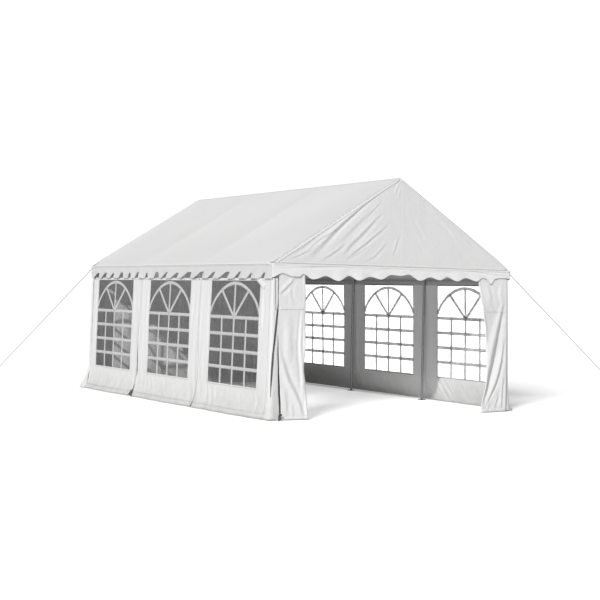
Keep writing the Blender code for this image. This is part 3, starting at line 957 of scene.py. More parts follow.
def build_gables():
    """Both gable triangles with the tapes along their rafters."""
    cloth = bpy.context.scene.tent_cloth
    columns = chain(spread(-GABLE_HALF, -1.2, 0.02), spread(-1.2, 0.0, 0.014),
                    spread(0.0, GABLE_HALF, 0.02))
    tall, end = gable_high(0) - GABLE_LOW, 1.93
    for (facing, word), folds, truss in zip(ENDS, (FRONT_GABLE_FOLDS, REAR_GABLE_FOLDS),
                                            ("truss_1", "truss_4")):
        surface, outward = gable_surface(facing, folds), (0, facing, 0)

        def place(x, share):
            return surface(x, GABLE_LOW + (gable_high(x) - GABLE_LOW) * share)

        panel = lay(f"gable_cloth_{word}", columns, spread(0.0, 1.0, 1 / 64), place, outward,
                    "gable", f"gable_{word}")
        stretch_map(panel)
        lines = [(straight((side * end, gable_high(end) - 0.014),
                           (side * 0.012, gable_high(0.012) - 0.014), 0.03), 0.0125, 0.0022)
                 for side in (-1, 1)]
        lines.append((level_line(-end, end, GABLE_LOW + 0.013, 0.03), 0.012, 0.002))
        tapes = sewn(f"gable_tapes_{word}", "tape", cloth.thickness, surface,
                     outward, lines)
        GABLE_HALF * tall * 1.02


def stretch_map(piece):
    """Write a gable's cloth map again in metres, from the places of its points."""
    layer = piece.data.uv_layers.active.data
    for loop in piece.data.loops:
        point = piece.data.vertices[loop.vertex_index].co
        layer[loop.index].uv = (point.x, point.z)


# Valances

FRONT_VALANCE_FOLDS = [
    Fold([(-0.62, 0.004), (-1.0, 0.016), (-1.3, 0.03), (-1.6, 0.046), (-1.995, 0.064)], 0.011,
         -0.007),
    Fold([(-1.2, 0.006), (-1.6, 0.012), (-1.99, 0.018)], 0.007, -0.004),
    Fold([(0.3, 0.004), (0.17, 0.03), (0.03, 0.046)], 0.01, 0.005),
    Fold([(1.0, 0.006), (1.285, 0.02), (1.496, 0.042), (1.711, 0.066), (1.99, 0.07)], 0.011, 0.007),
    Fold([(1.3, 0.01), (1.6, 0.016), (1.99, 0.026)], 0.008, 0.004),
    Fold([(-0.15, 0.03), (-0.35, 0.052), (-0.5, 0.06)], 0.012, -0.0035),
    Fold([(0.55, 0.05), (0.8, 0.042), (1.02, 0.05)], 0.012, 0.003),
]
# The front valance's lower edge as it hangs: x and height
FRONT_EDGE = [(-2.0, 1.85), (-1.856, 1.906), (-1.7, 1.868), (-1.6, 1.867), (-1.535, 1.901),
              (-1.381, 1.836), (-1.181, 1.883), (-0.987, 1.824), (-0.806, 1.896), (-0.66, 1.837),
              (-0.457, 1.891), (-0.291, 1.858), (-0.112, 1.925), (0.04, 1.915), (0.175, 1.935),
              (0.367, 1.857), (0.556, 1.908), (0.715, 1.87), (0.856, 1.915), (1.018, 1.863),
              (1.188, 1.912), (1.371, 1.868), (1.489, 1.92), (1.55, 1.912), (1.637, 1.834),
              (1.722, 1.912), (1.8, 1.924), (1.9, 1.926), (2.0, 1.916)]
# How far the left valance's notches have moved along it, and how much its lobes lean: y and value
LEFT_NOTCH_SHIFT = [(-3.0, -0.15), (-1.9, -0.165), (-1.2, -0.07), (-0.6, 0.0), (0.2, 0.08),
                    (0.8, 0.13), (1.4, 0.08), (2.0, 0.055), (2.6, -0.01), (3.0, 0.0)]
LEFT_LEAN = [(-3.0, 0.6), (-2.8, 0.8), (-2.4, 1.1), (-1.8, 1.5), (-1.0, 1.3), (-0.3, 1.7),
             (0.06, 1.4), (0.45, 0.1), (0.8, 0.1), (1.1, 0.8), (1.41, 0.2), (1.72, 0.3),
             (2.05, 0.9), (2.66, 1.0), (3.0, 0.4)]
# How wide and how deep each notch of the left valance is, against a plain one, from the front
LEFT_NOTCH_WIDTH = (1.0, 0.62, 0.6, 0.66, 1.1, 0.6, 0.92, 1.05, 0.8, 0.66, 0.95, 0.72, 1.0,
                    0.78, 0.9, 0.7, 0.95, 0.8, 1.0)
LEFT_NOTCH_DEPTH = (1.0, 0.85, 0.8, 1.0, 1.0, 1.0, 1.05, 1.0, 0.9, 1.0, 1.0, 0.9, 1.0, 0.92, 1.0,
                    0.9, 1.0, 0.95, 1.0)


def side_drop(side):
    """How far a side valance hangs, by distance along it: lobes with narrow gaps between them."""
    scallop = SIDE_SCALLOP if side < 0 else RIGHT_SCALLOP

    def drop(along):
        moved = along - (between(LEFT_NOTCH_SHIFT, along) if side < 0 else 0.0)
        phase = (moved + HALF_L) / SCALLOP_PITCH
        off = abs(phase - round(phase))
        notch = min(max(round(phase), 0), 2 * BAYS * BAYS)
        wide, deep = (LEFT_NOTCH_WIDTH[notch], LEFT_NOTCH_DEPTH[notch]) if side < 0 else (1.0, 1.0)
        uneven_tip = 0.01 * uneven(along, 0.0, 0.42, side * 3.0)
        cut = scallop * deep * (1 - ease(0.11 * wide, 0.35 * wide, off))
        return VALANCE - cut - max(uneven_tip, -0.003) * ease(0.2, 0.4, off)

    return drop


def front_drop(along):
    """How far the front valance hangs."""
    return VALANCE_TOP - between(FRONT_EDGE, along)


def rear_drop(along):
    """How far the rear valance hangs: rounded lobes with flat gaps between them."""
    phase = (along + HALF_W) / SCALLOP_PITCH + 0.5
    inside = min(abs(phase - math.floor(phase) - 0.5) / 0.34, 1.0)
    return VALANCE - END_SCALLOP * (1 - math.sqrt(1 - inside * inside))


def valance_surface(facing, on_side, run, folds, curl, lean, seed):
    """The placing function of a valance's outer face, over its run and the drop from its top."""
    fold_share = bpy.context.scene.tent_cloth.fold
    plane = facing * ((HALF_W if on_side else HALF_L) - CLOTH_ROOM)

    def surface(along, drop):
        turn = TAU * ((along + run / 2) / SCALLOP_PITCH)
        low = max(drop, 0.0) / VALANCE
        ends = ease(0.0, 0.12, run / 2 - abs(along))
        sway = 0.55 + 0.45 * math.sin(turn / 5.3 + seed)
        swing = curl * low ** 1.6 * (0.75 + sway * math.sin(turn + 0.8)
                                     + 0.5 * uneven(along, drop, 0.21, seed))
        creases = folded(folds, along, drop) + 0.0012 * uneven(along, drop, 0.05, seed + 4)
        out = 0.0005 + 0.0015 * ease(0.0, 0.03, drop) + max(swing, -0.002) * ends
        out += creases * fold_share * ease(0.0, 0.01, drop)
        place = along + between(lean, along) * max(0.0, drop - 0.1) * ends
        away = plane + facing * out
        return Vector((away, place, VALANCE_TOP - drop) if on_side
                      else (place, away, VALANCE_TOP - drop))

    return surface


def build_valances():
    """The four scalloped strips with the binding along their edges."""
    cloth = bpy.context.scene.tent_cloth
    side_run, end_run = 2 * (HALF_L - CLOTH_ROOM - GAP), 2 * HALF_W
    strips = (("left", -1, True, side_run, side_drop(-1), [], 0.016, LEFT_LEAN),
              ("right", 1, True, side_run, side_drop(1), [], 0.016, NO_CHANGE),
              ("front", -1, False, end_run, front_drop, FRONT_VALANCE_FOLDS, 0.015, NO_CHANGE),
              ("rear", 1, False, end_run, rear_drop, [], 0.015, NO_CHANGE))
    for seed, (word, facing, on_side, run, drop_of, folds, curl, lean) in enumerate(strips):
        surface = valance_surface(facing, on_side, run, folds, curl, lean, seed * 1.7)
        outward = (facing, 0, 0) if on_side else (0, facing, 0)

        def place(along, share):
            return surface(along, share * drop_of(along))

        # On the sides the strip and its binding take the darker side cloth: painted shade.
        strip = lay(f"valance_cloth_{word}", spread(-run / 2, run / 2, SCALLOP_PITCH / 28),
                    spread(0.0, 1.0, 1 / 16), place, outward,
                    "side_valance" if on_side else "valance", f"valance_{word}")
        edge = [(along, drop_of(along) - 0.006)
                for along in spread(-run / 2 + 0.004, run / 2 - 0.004, SCALLOP_PITCH / 28)]
        binding = sewn(f"valance_binding_{word}", "side_valance" if on_side else "tape",
                       cloth.thickness, surface, outward,
                       [(edge, 0.0065, 0.0014),
                        (level_line(-run / 2 + 0.01, run / 2 - 0.01, 0.02, 0.03), 0.009)])
        hung = [drop_of(along) for along in spread(-run / 2, run / 2, 0.02)]
        run * sum(hung) / len(hung)


# Side walls

def turned_path(distance, corner):
    """A line that runs straight to the corner leg, then turns a quarter circle round it.

    Returns the point and its outward direction, as values along and across the line.
    """
    past = distance - corner
    if past <= 0:
        return (distance, WALL_R), (0, 1)
    if past < CORNER_ARC:
        angle = past / WALL_R
        turn = (math.sin(angle), math.cos(angle))
        return (corner + WALL_R * turn[0], WALL_R * turn[1]), turn
    return (corner + WALL_R, CORNER_ARC - past), (1, 0)


def skirt(z):
    """How much of the outward flare of the hem shows at a height."""
    return max(0.0, (SKIRT_TOP - z) / (SKIRT_TOP - HEM)) ** 1.5


def flare_at(share):
    """Outward flare of the hem, from the front corner (0) to the rear corner (1)."""
    swell = 0.02 * math.sin(math.pi * BAYS * share) ** 2
    return 0.02 + (FLARE_REAR - 0.02) * math.sqrt(share) + swell


def hanging_point(distance, z, corner, origin, along, outward, flare, extra):
    """A point on the outer face of a wall that hangs from the eave and flares at its hem."""
    (u, v), (du, dv) = turned_path(distance, corner)
    ripple = 0.012 * (1 + math.sin(TAU * distance / 0.5)) / 2
    out = 0.04 * max(0.0, 1 - z / WALL_TOP) + (flare + ripple) * skirt(z) + SKIN + extra
    return origin + along * (u + du * out) + outward * (v + dv * out) + UP * z


def pleats(distance, z, joint, seed):
    """Soft upright folds beside a panel's edge, which grow towards the hem."""
    off = distance - joint
    near = math.exp(-(off / 0.21) ** 2)
    sway = 0.03 * math.sin(3.1 * z + seed) + 0.035 * uneven(0.0, z, 0.5, seed)
    sway -= 0.18 * max(0.0, 1 - z / 0.4)
    wave = 0.5 + 0.5 * math.cos(TAU * (off + sway) / 0.155 + seed)
    return (0.005 + 0.005 * ease(1.7, 0.2, z)) * near * wave ** 1.4


# How far a panel's folds run forward on their way down its skirt, and how deep they are, from the
# front panel to the rear one
SKIRT_RUN = (1.0, 1.4, 1.7)
SKIRT_DEPTH = (1.0, 0.5, 0.45)


def panel_folds(number):
    """The creases of one wall panel, over distance and height."""
    middle = (1 - number) * BAY
    left, right = middle - WINDOW_W / 2, middle + WINDOW_W / 2
    run, deep = SKIRT_RUN[number], SKIRT_DEPTH[number]

    def crease(x, widths, depth, *points, forward=1.0):
        return Fold([(x + ahead * forward, z) for ahead, z in points], widths, depth)

    folds = [
        crease(left + 0.02, (0.018, 0.03), 0.009 * deep, (0.0, 0.4), (0.08, 0.26), (0.16, 0.12),
               (0.2, 0.02), forward=run),
        crease(left + 0.16, 0.022, 0.007 * deep, (0.0, 0.39), (0.08, 0.27), (0.17, 0.1),
               forward=run),
        crease(left - 0.08, 0.02, 0.006 * deep, (0.0, 0.42), (0.04, 0.3), (0.12, 0.1),
               forward=run),
        crease(left + 0.52, 0.022, 0.003, (0.0, 0.38), (0.08, 0.28), (0.14, 0.16), forward=run),
        crease(left + 0.86, 0.026, 0.0028, (0.0, 0.36), (0.07, 0.26), (0.14, 0.12), forward=run),
        crease(right - 0.04, 0.022, 0.005 * deep, (0.0, 0.39), (0.08, 0.24), (0.13, 0.08),
               forward=run),
        crease(left, 0.022, 0.006, (-0.05, 1.78), (-0.07, 1.2), (-0.04, 0.62)),
        crease(right, 0.022, 0.006, (0.06, 1.8), (0.1, 1.5), (0.08, 1.1)),
    ]
    if number == 0:
        folds += [
            crease(right, 0.022, 0.009, (-0.03, 1.84), (0.07, 1.72), (0.1, 1.5), (0.09, 1.2)),
            crease(right, 0.02, 0.004, (0.02, 1.02), (0.035, 0.7), (0.02, 0.48)),
            crease(right, 0.018, 0.006, (0.03, 0.24), (0.035, 0.12), (0.02, 0.02)),
        ]
    return folds


# How far the left panels' edges move forward at each height: the edges at the front joint, at the
# rear joint and at the rear corner, each as the front panel's edge and then the rear panel's edge
FRONT_JOINT = ([(0.0, 0.014), (0.1, 0.003), (0.34, 0.002), (0.46, 0.0)],
               [(0.0, -0.03), (0.05, -0.012), (0.1, -0.004), (0.34, -0.002), (0.46, 0.0)])
REAR_JOINT = ([(0.0, 0.036), (0.06, 0.022), (0.13, 0.0), (0.3, -0.036), (0.8, -0.048),
               (1.2, -0.02), (1.6, 0.0)],
              [(0.0, -0.15), (0.06, -0.095), (0.13, -0.02), (0.3, -0.044), (0.8, -0.054),
               (0.95, -0.042), (1.2, -0.02), (1.6, 0.0)])
REAR_CORNER = [(0.0, 0.12), (0.06, 0.11), (0.14, 0.07), (0.25, 0.01), (0.4, 0.0)]
CORNER_SLIT = 0.02
# How far the wall's end reaches on round the front left corner, by height
CORNER_REACH = [(0.0, 0.031), (0.19, 0.031), (0.42, 0.023), (0.655, 0.013), (0.88, 0.003),
                (1.2, 0.008), (1.5, 0.008), (1.8, 0.0)]


def edge_shifts(side, number):
    """How far a panel's rear edge and front edge move forward, by height."""
    rear = NO_CHANGE
    if number == BAYS - 1:
        rear = [(z, shift + CORNER_SLIT * (shift > 0)) for z, shift in REAR_CORNER]
    if side > 0:
        return rear, NO_CHANGE
    return ((FRONT_JOINT[0], NO_CHANGE), (REAR_JOINT[0], FRONT_JOINT[1]),
            (rear, REAR_JOINT[1]))[number]


def wall_surface(side, number, as_hung=True):
    """The placing function of a side wall panel's outer face: distance runs forward, then height.
    Unless as_hung, its edges stay straight."""
    origin = Vector((side * LEG_X, 0, 0))
    along, outward = Vector((0, -1, 0)), Vector((side, 0, 0))
    folds = panel_folds(number)
    middle = (1 - number) * BAY
    far, near = middle + BAY / 2, middle - BAY / 2
    rear_shift, front_shift = edge_shifts(side, number)
    fold_share = bpy.context.scene.tent_cloth.fold
    seed = (side + 1) * 1.9

    def surface(distance, z):
        share = min(max((HALF_L - distance) / (2 * HALF_L), 0.0), 1.0)
        stiff = ease(WINDOW_W / 2 + 0.1, WINDOW_W / 2 - 0.04, abs(distance - middle))
        stiff *= ease(WINDOW_LOW - 0.12, WINDOW_LOW + 0.02, z)
        upright = pleats(distance, z, near, seed + 2.3 * number)
        upright += pleats(distance, z, far, seed + 2.3 * (number - 1)) if number else 0.0
        billow = 0.007 * (1 + uneven(distance, z, 0.55, seed)) * ease(1.8, 1.2, z)
        fine = 0.0016 * uneven(distance, z, 0.09, seed + 5)
        fine += 0.0022 * uneven(distance, z * 0.5, 0.17, seed)
        inside = ease(0.0, 0.1, distance - near) * ease(0.0, 0.1, far - distance)
        own = folded(folds, distance, z) * inside
        extra = (upright + own + fine) * fold_share * (1 - stiff) + billow
        extra *= ease(WALL_TOP + 0.01, WALL_TOP - 0.32, z)
        extra *= ease(LEG_Y + 0.02, LEG_Y - 0.12, distance)
        reach = distance
        if as_hung:
            reach += between(rear_shift, z) * ease(near + 0.35, near, distance)
            reach += between(front_shift, z) * ease(far - 0.35, far, distance)
        if number == 0 and side < 0:
            wrapped = LEG_Y + CORNER_ARC
            reach += between(CORNER_REACH, z) * ease(wrapped, wrapped + 0.05, distance)
        return hanging_point(reach, z, LEG_Y, origin, along, outward, flare_at(share),
                             max(extra, 0.0))

    return surface


def wall_limits(number, wrap):
    """First and last distance of a wall panel."""
    middle = (1 - number) * BAY
    near = middle - BAY / 2 + SEAM_GAP
    far = middle + BAY / 2 - SEAM_GAP
    if number == 0:
        far = LEG_Y + CORNER_ARC + wrap
    if number == BAYS - 1:
        near = -(LEG_Y - REAR_WRAP) + SEAM_GAP
    return near, far


def wall_columns(number, near, far, step):
    """Distances across a panel, with a column on each window edge and close ones at a corner."""
    middle = (1 - number) * BAY
    left, right = middle - WINDOW_W / 2, middle + WINDOW_W / 2
    runs = [spread(near, left, step * 0.8), spread(left, right, step)]
    if number == 0:
        runs += [spread(right, LEG_Y, step * 0.8), spread(LEG_Y, LEG_Y + CORNER_ARC, 0.005),
                 spread(LEG_Y + CORNER_ARC, far, 0.01)]
    else:
        runs += [spread(right, far, step * 0.8)]
    return chain(*runs), (left, right)


def arch_curve(share):
    """Height of the window's arch at a share of its half width, from 0 to 1."""
    rise = max(0.0, 1 - share * share)
    return 0.5 * (math.sqrt(rise) + rise)


def arch_points(middle, steps=40):
    """The window's arch, from one side to the other."""
    half = WINDOW_W / 2 - 0.004
    shares = [math.sin(math.pi * (i / steps - 0.5)) for i in range(steps + 1)]
    return [(middle + half * share, ARCH_FOOT + (ARCH_TOP - ARCH_FOOT) * arch_curve(share))
            for share in shares]


def window_lines(middle):
    """Every bar of a window, as lines of points on the cloth."""
    windows = bpy.context.scene.tent_windows
    half = WINDOW_W / 2
    left, right = middle - half, middle + half
    row = (TRANSOM - WINDOW_LOW) / windows.rows
    lines = [level_line(left, right, TRANSOM)]
    lines += [level_line(left, right, WINDOW_LOW + row * i) for i in range(1, windows.rows)]
    lines += [upright_line(left + WINDOW_W * i / windows.panes, WINDOW_LOW, TRANSOM)
              for i in range(1, windows.panes)]
    lines += [arch_points(middle), upright_line(middle, TRANSOM, ARCH_TOP)]
    meet = ARCH_FOOT + (ARCH_TOP - ARCH_FOOT) * arch_curve(SPOKE)
    lines += [straight((middle, TRANSOM), (middle + way * half * SPOKE, meet)) for way in (-1, 1)]
    return lines


def build_window(side, name, number, surface, outward):
    """The clear film welded behind a panel's opening, and the bars on it."""
    windows = bpy.context.scene.tent_windows
    middle = (1 - number) * BAY
    half = WINDOW_W / 2 + FILM_LAP

    def behind(distance, z):
        ripple = 0.0016 * uneven(distance, z, 0.2, 11.0 + number + side)
        inside = ease(half, half - 0.12, abs(distance - middle))
        return surface(distance, z) - Vector(outward) * (0.0014 + max(ripple, 0.0) * inside)

    film = lay(f"window_clear_film_{name}", spread(middle - half, middle + half, 0.024),
               spread(WINDOW_LOW - FILM_LAP, WINDOW_HIGH + FILM_LAP, 0.024), behind, outward,
               "film", f"window_{name}", thick=0.0006)
    bars = sewn(f"window_bars_{name}", "bar", 0.0009, behind, outward,
                [(line, windows.bar / 2, 0.0012 + 0.0002 * (layer % 3))
                 for layer, line in enumerate(window_lines(middle))])


def eyelet_distances(near, far):
    """Where the eyelets stand along a panel's top hem."""
    count = max(2, round((far - near) / 0.48))
    return [near + 0.06 + (far - near - 0.12) * i / count for i in range(count + 1)]


def eyelet_row(name, surface, outward, distances, height):
    """A pressed eyelet at each distance along a hem."""
    bm = bmesh.new()
    for distance in distances:
        place = surface(distance, height) + Vector(outward) * 0.0028
        ring(bm, place, outward, 0.0075, 0.0022, sides=8, steps=16)
    return finished(name, bm, "fitting")


def build_corner_zips_and_shadow_lines(surface, outward):
    """The zips at the front left corner, partly open, and the strap that holds its wall."""
    cloth = bpy.context.scene.tent_cloth
    bm = bmesh.new()
    # A dark tape down the wrap's face: the open zip, and painted shadow along the wall's edge.
    line = [(3.062, 1.76), (3.058, 1.62), (3.052, 1.51), (3.036, 1.34), (3.014, 1.09),
            (2.994, 0.86), (2.987, 0.65), (2.984, 0.44), (2.983, 0.3)]
    slant = (-1, -1, 0)
    tape(bm, run_through(line), 0.0125, surface, slant, 0.0012,
         widths=((0.0, 0.2), (0.16, 0.32), (0.25, 0.85), (0.5, 1.0), (0.62, 0.6), (0.8, 0.4),
                 (1.0, 0.08)))

    def behind_edge(x, z):
        return Vector((x, -LEG_Y - 0.024 - 0.05 * ease(0.8, 0.0, z), z))

    # A dark tape behind the slit between the wall and the flap: painted shade in the slit.
    line = [(-1.9, 1.84), (-1.898, 1.2), (-1.89, 0.88), (-1.88, 0.655), (-1.868, 0.42),
            (-1.858, 0.19), (-1.858, 0.03)]
    tape(bm, run_through(line), 0.009, behind_edge, (0, -1, 0), 0.0,
         widths=((0.0, 0.2), (0.19, 0.3), (0.28, 1.0), (1.0, 1.0)))
    # A thin dark line beside the zip: painted shadow of the wrap's edge.
    line = [(3.034, 1.87), (3.019, 1.846), (3.016, 1.78), (3.016, 1.6), (3.022, 1.42)]
    tape(bm, run_through(line), 0.0032, surface, slant, 0.0012,
         widths=((0.0, 0.8), (0.2, 1.0), (1.0, 0.7)))
    # A dark tape at the wrap's end, widening to the foot: the zip, and painted shade in the slot
    # beside the leg.
    end = LEG_Y + CORNER_ARC + WRAP_LEFT - 0.01
    tape(bm, upright_line(end, 1.1, 0.04, 0.03), 0.011, surface, slant, 0.0012,
         widths=((0.0, 0.1), (0.35, 0.5), (0.6, 1.0), (1.0, 1.0)))
    zips_and_shadow_lines = finished("corner_zips_and_shadow_lines_left", bm, "zip", cloth.thickness)
    # A raised light tape over the window's top corner: painted highlight where the cloth folds.
    strap = sewn("corner_highlight_strap_left", "tape", cloth.thickness, surface, outward,
                 [(straight((2.52, 1.889), (2.8, 1.724)), 0.041, 0.006, 4)])
    return [zips_and_shadow_lines, strap]


def build_joint_zips_and_shade():
    """The dark zip tapes that join the left panels, seen where the joints gape."""
    bm = bmesh.new()
    for number, shift, widths in (
            (1, FRONT_JOINT, ((0.0, 0.1), (0.84, 0.12), (0.9, 0.2), (1.0, 0.35))),
            (2, REAR_JOINT, ((0.0, 0.1), (0.82, 0.15), (0.9, 0.7), (1.0, 1.0)))):
        joint = (1 - number) * BAY + BAY / 2
        hung = wall_surface(-1, number, as_hung=False)

        def surface(distance, z, hung=hung):
            return hung(distance, max(z, HEM / 2))

        heights = (1.0, 0.85, 0.7, 0.55, 0.4, 0.3, 0.2, 0.15, 0.12, 0.08, 0.04, HEM + 0.004)
        line = [(joint + (between(shift[0], z) + between(shift[1], z)) / 2, z) for z in heights]
        # Wide and dark at the hem: painted shade in the gaping joint.
        tape(bm, line, 0.12, surface, (-1, 0, 0), -0.0045, widths=widths)
    finished("joint_zips_and_shade_left", bm, "zip", 0.0008)


def build_side_walls():
    """Six wall panels with their windows, hems and eyelets."""
    cloth = bpy.context.scene.tent_cloth
    for (side, word), wrap in zip(SIDES, (WRAP_LEFT, WRAP_RIGHT)):
        outward, high = (side, 0, 0), HANG[side]
        for number in range(BAYS):
            name = f"{word}_{number + 1}"
            surface = wall_surface(side, number)
            near, far = wall_limits(number, wrap)
            columns, (left, right) = wall_columns(number, near, far, cloth.step)
            rows = chain(spread(HEM, WINDOW_LOW, cloth.step * 0.8),
                         spread(WINDOW_LOW, WINDOW_HIGH, cloth.step * 1.3),
                         spread(WINDOW_HIGH, high, 0.012))

            def solid(distance, z, left=left, right=right):
                return not (left < distance < right and WINDOW_LOW < z < WINDOW_HIGH)

            panel = lay(f"wall_cloth_{name}", columns, rows, surface, outward, "wall",
                        f"wall_{name}", keep=solid)
            start, end = near + 0.01, min(far, WALL_END)
            lines = [(level_line(start, end, HEM + 0.038), 0.035, 0.001),
                     (level_line(start, end, high - EYELET_DROP), 0.014)]
            lines += [(upright_line(edge, HEM + 0.074, high - 0.032), 0.013, 0.001)
                      for edge in (near + 0.016, end - 0.016)]
            hems = sewn(f"wall_hems_{name}", "hem", cloth.thickness * 0.6, surface,
                        outward, lines)
            lines = [(upright_line(left - 0.012, WINDOW_LOW, WINDOW_HIGH), 0.0125, 0.0014),
                     (upright_line(right + 0.012, WINDOW_LOW, WINDOW_HIGH), 0.0125, 0.0014),
                     (level_line(left - 0.024, right + 0.024, WINDOW_LOW - 0.012), 0.0125, 0.0017),
                     (level_line(left - 0.024, right + 0.024, WINDOW_HIGH + 0.008), 0.009, 0.0017)]
            border = sewn(f"window_border_{name}", "hem", cloth.thickness * 0.8,
                          surface, outward, lines)
            eyelets = eyelet_row(f"wall_eyelets_{name}", surface, outward,
                                 eyelet_distances(near, end), high - EYELET_DROP)
            # A dark band on the inner face between each window and the wall's top: painted shade
            # where the valance outside keeps the light off.
            low_edge, high_edge = WINDOW_HIGH + 0.01, high - 0.003
            header = sewn(f"wall_header_{name}", "header", cloth.thickness * 0.5,
                          surface, (-side, 0, 0),
                          [(level_line(start, end, (low_edge + high_edge) / 2),
                            (high_edge - low_edge) / 2, cloth.thickness + 0.0003)])
            extras = [hems, border, eyelets, header]
            extras += build_corner_zips_and_shadow_lines(surface, outward) if name == "left_1" else []
            width, tall = far - near, high - HEM
            width * tall - WINDOW_W * (WINDOW_HIGH - WINDOW_LOW)
            build_window(side, name, number, surface, outward)
    build_joint_zips_and_shade()


# Rear doors

REAR_DOOR_FOLDS = [
    Fold([(0.35, 1.8), (0.4, 1.2), (0.36, 0.5), (0.4, 0.03)], (0.05, 0.06), 0.01),
    Fold([(0.78, 1.8), (0.74, 1.1), (0.8, 0.4), (0.78, 0.03)], (0.05, 0.07), 0.011),
    Fold([(1.22, 1.8), (1.27, 1.0), (1.22, 0.03)], (0.05, 0.06), 0.01),
    Fold([(1.6, 1.78), (1.58, 1.0), (1.66, 0.03)], (0.04, 0.05), 0.009),
    Fold([(0.1, 1.7), (0.2, 1.0), (0.14, 0.2)], 0.035, 0.006),
    Fold([(1.5, 1.3), (1.2, 0.95), (0.95, 0.72)], 0.03, -0.005),
    Fold([(0.95, 0.6), (0.7, 0.34), (0.52, 0.14)], 0.03, -0.006),
    Fold([(1.62, 1.02), (1.44, 0.84), (1.2, 0.66)], 0.026, 0.012),
    Fold([(1.66, 0.8), (1.46, 0.62), (1.22, 0.44)], 0.026, 0.012),
    Fold([(1.58, 1.32), (1.4, 1.18), (1.24, 1.08)], 0.024, 0.009),
    Fold([(1.64, 0.56), (1.48, 0.42), (1.3, 0.3)], 0.024, 0.01),
]


def rear_surface(side):
    """The placing function of a rear door's outer face, from the middle out and by height."""
    origin = Vector((0, LEG_Y, 0))
    along, outward = Vector((side, 0, 0)), Vector((0, 1, 0))
    fold_share = bpy.context.scene.tent_cloth.fold
    corner = LEG_X + CORNER_ARC

    def surface(distance, z):
        share = min(max(distance / LEG_X, 0.0), 1.0)
        creases = 0.008 + folded(REAR_DOOR_FOLDS, distance, z)
        creases += 0.002 * uneven(distance, z, 0.12, 9 + side)
        upright = pleats(distance, z, LEG_X - 0.05, side * 1.3)
        extra = (creases + upright) * fold_share * ease(WALL_TOP + 0.01, WALL_TOP - 0.1, z)
        extra *= ease(-0.02, 0.05, distance)
        reach = distance + between(REAR_CORNER, z) * ease(corner, corner + REAR_WRAP, distance)
        return hanging_point(reach, z, LEG_X, origin, along, outward,
                             FLARE_REAR * (0.6 + 0.4 * share), max(extra, 0.0))

    return surface


def build_rear_doors():
    """Both halves of the closed rear end, with the zip between them and straps to roll them up."""
    cloth = bpy.context.scene.tent_cloth
    far, inner_far = LEG_X + CORNER_ARC + REAR_WRAP - SEAM_GAP, LEG_X - 0.004
    rows = chain(spread(HEM, SKIRT_TOP, cloth.step * 0.9),
                 spread(SKIRT_TOP, REAR_TOP, cloth.step * 1.2))
    columns = chain(spread(SEAM_GAP, LEG_X, cloth.step), spread(LEG_X, LEG_X + CORNER_ARC, 0.005),
                    spread(LEG_X + CORNER_ARC, far, 0.01))
    outward = (0, 1, 0)
    for side, word in SIDES:
        surface = rear_surface(side)
        door = lay(f"rear_door_cloth_{word}", columns, rows, surface, outward, "door",
                   f"rear_door_{word}")
        lines = [(level_line(0.03, inner_far, HEM + 0.024), 0.021),
                 (level_line(0.03, inner_far, REAR_TOP - EYELET_DROP), 0.014)]
        lines += [(upright_line(edge, HEM + 0.046, REAR_TOP - 0.032), 0.013)
                  for edge in (0.03, LEG_X - 0.04)]
        lines += [(upright_line(strap, REAR_TOP - 0.03, REAR_TOP - 0.42), 0.011, 0.0034)
                  for strap in (0.55, 1.4)]
        tapes = sewn(f"rear_door_tapes_{word}", "hem", cloth.thickness, surface,
                     outward, lines)
        eyelets = eyelet_row(f"rear_door_eyelets_{word}", surface, outward,
                             eyelet_distances(0.0, LEG_X - 0.02), REAR_TOP - EYELET_DROP)
    bm = bmesh.new()
    left, right = rear_surface(-1), rear_surface(1)

    def seam(z, out):
        return (left(0.001, z) + right(0.001, z)) / 2 + Vector((0, out, 0))

    for i in range(int((REAR_TOP - 0.09) / ZIP_STEP)):
        block(bm, seam(0.05 + ZIP_STEP * i, 0.0018), (0.011 if i % 2 else 0.009, 0.003, 0.0042))
    pull = seam(0.075, 0.006)
    sweep(bm, [pull + Vector((0, 0, 0.006)), pull, pull + Vector((0, 0.003, -0.022)),
               pull + Vector((0, 0.003, -0.03))], [0.006, 0.007, 0.004, 0.005], 12)
    finished("rear_door_zip", bm, "fitting")


# Front door flaps

# x of the leg edge and of the free edge by height, the folds over x and height, and how far the
# free edge swings forward by height
LEFT_FLAP = {
    "leg": [(0.0, -1.845), (0.2, -1.853), (0.4, -1.868), (0.65, -1.886), (0.9, -1.899),
            (1.15, -1.909), (1.57, -1.912), (1.76, -1.902), (2.02, -1.88)],
    "free": [(0.0, -1.44), (0.25, -1.462), (0.45, -1.478), (0.68, -1.512), (0.95, -1.5),
             (1.45, -1.5), (2.02, -1.505)],
    "swing": [(0.0, 0.02), (1.0, 0.01), (1.8, 0.0)],
    "folds": [
        Fold([(-1.62, 1.9), (-1.706, 1.787), (-1.785, 1.723), (-1.9, 1.62)], 0.02, 0.012),
        Fold([(-1.565, 1.44), (-1.58, 1.23), (-1.59, 0.975), (-1.575, 0.8), (-1.55, 0.616),
              (-1.53, 0.3)], (0.014, 0.02, 0.02), -0.01),
        Fold([(-1.86, 0.9), (-1.8, 0.7), (-1.725, 0.52), (-1.625, 0.36), (-1.54, 0.18),
              (-1.5, 0.03)], (0.028, 0.036, 0.024), 0.015),
        Fold([(-1.83, 1.38), (-1.8, 1.0), (-1.82, 0.66)], 0.04, -0.005),
        Fold([(-1.7, 1.4), (-1.71, 1.1), (-1.69, 0.75)], 0.04, 0.004),
        Fold([(-1.7, 1.84), (-1.72, 1.66), (-1.7, 1.5)], 0.02, 0.003),
        Fold([(-1.8, 0.42), (-1.76, 0.24), (-1.74, 0.03)], 0.03, 0.006),
        Fold([(-1.68, 0.2), (-1.66, 0.1), (-1.655, 0.02)], 0.022, 0.004),
    ],
}
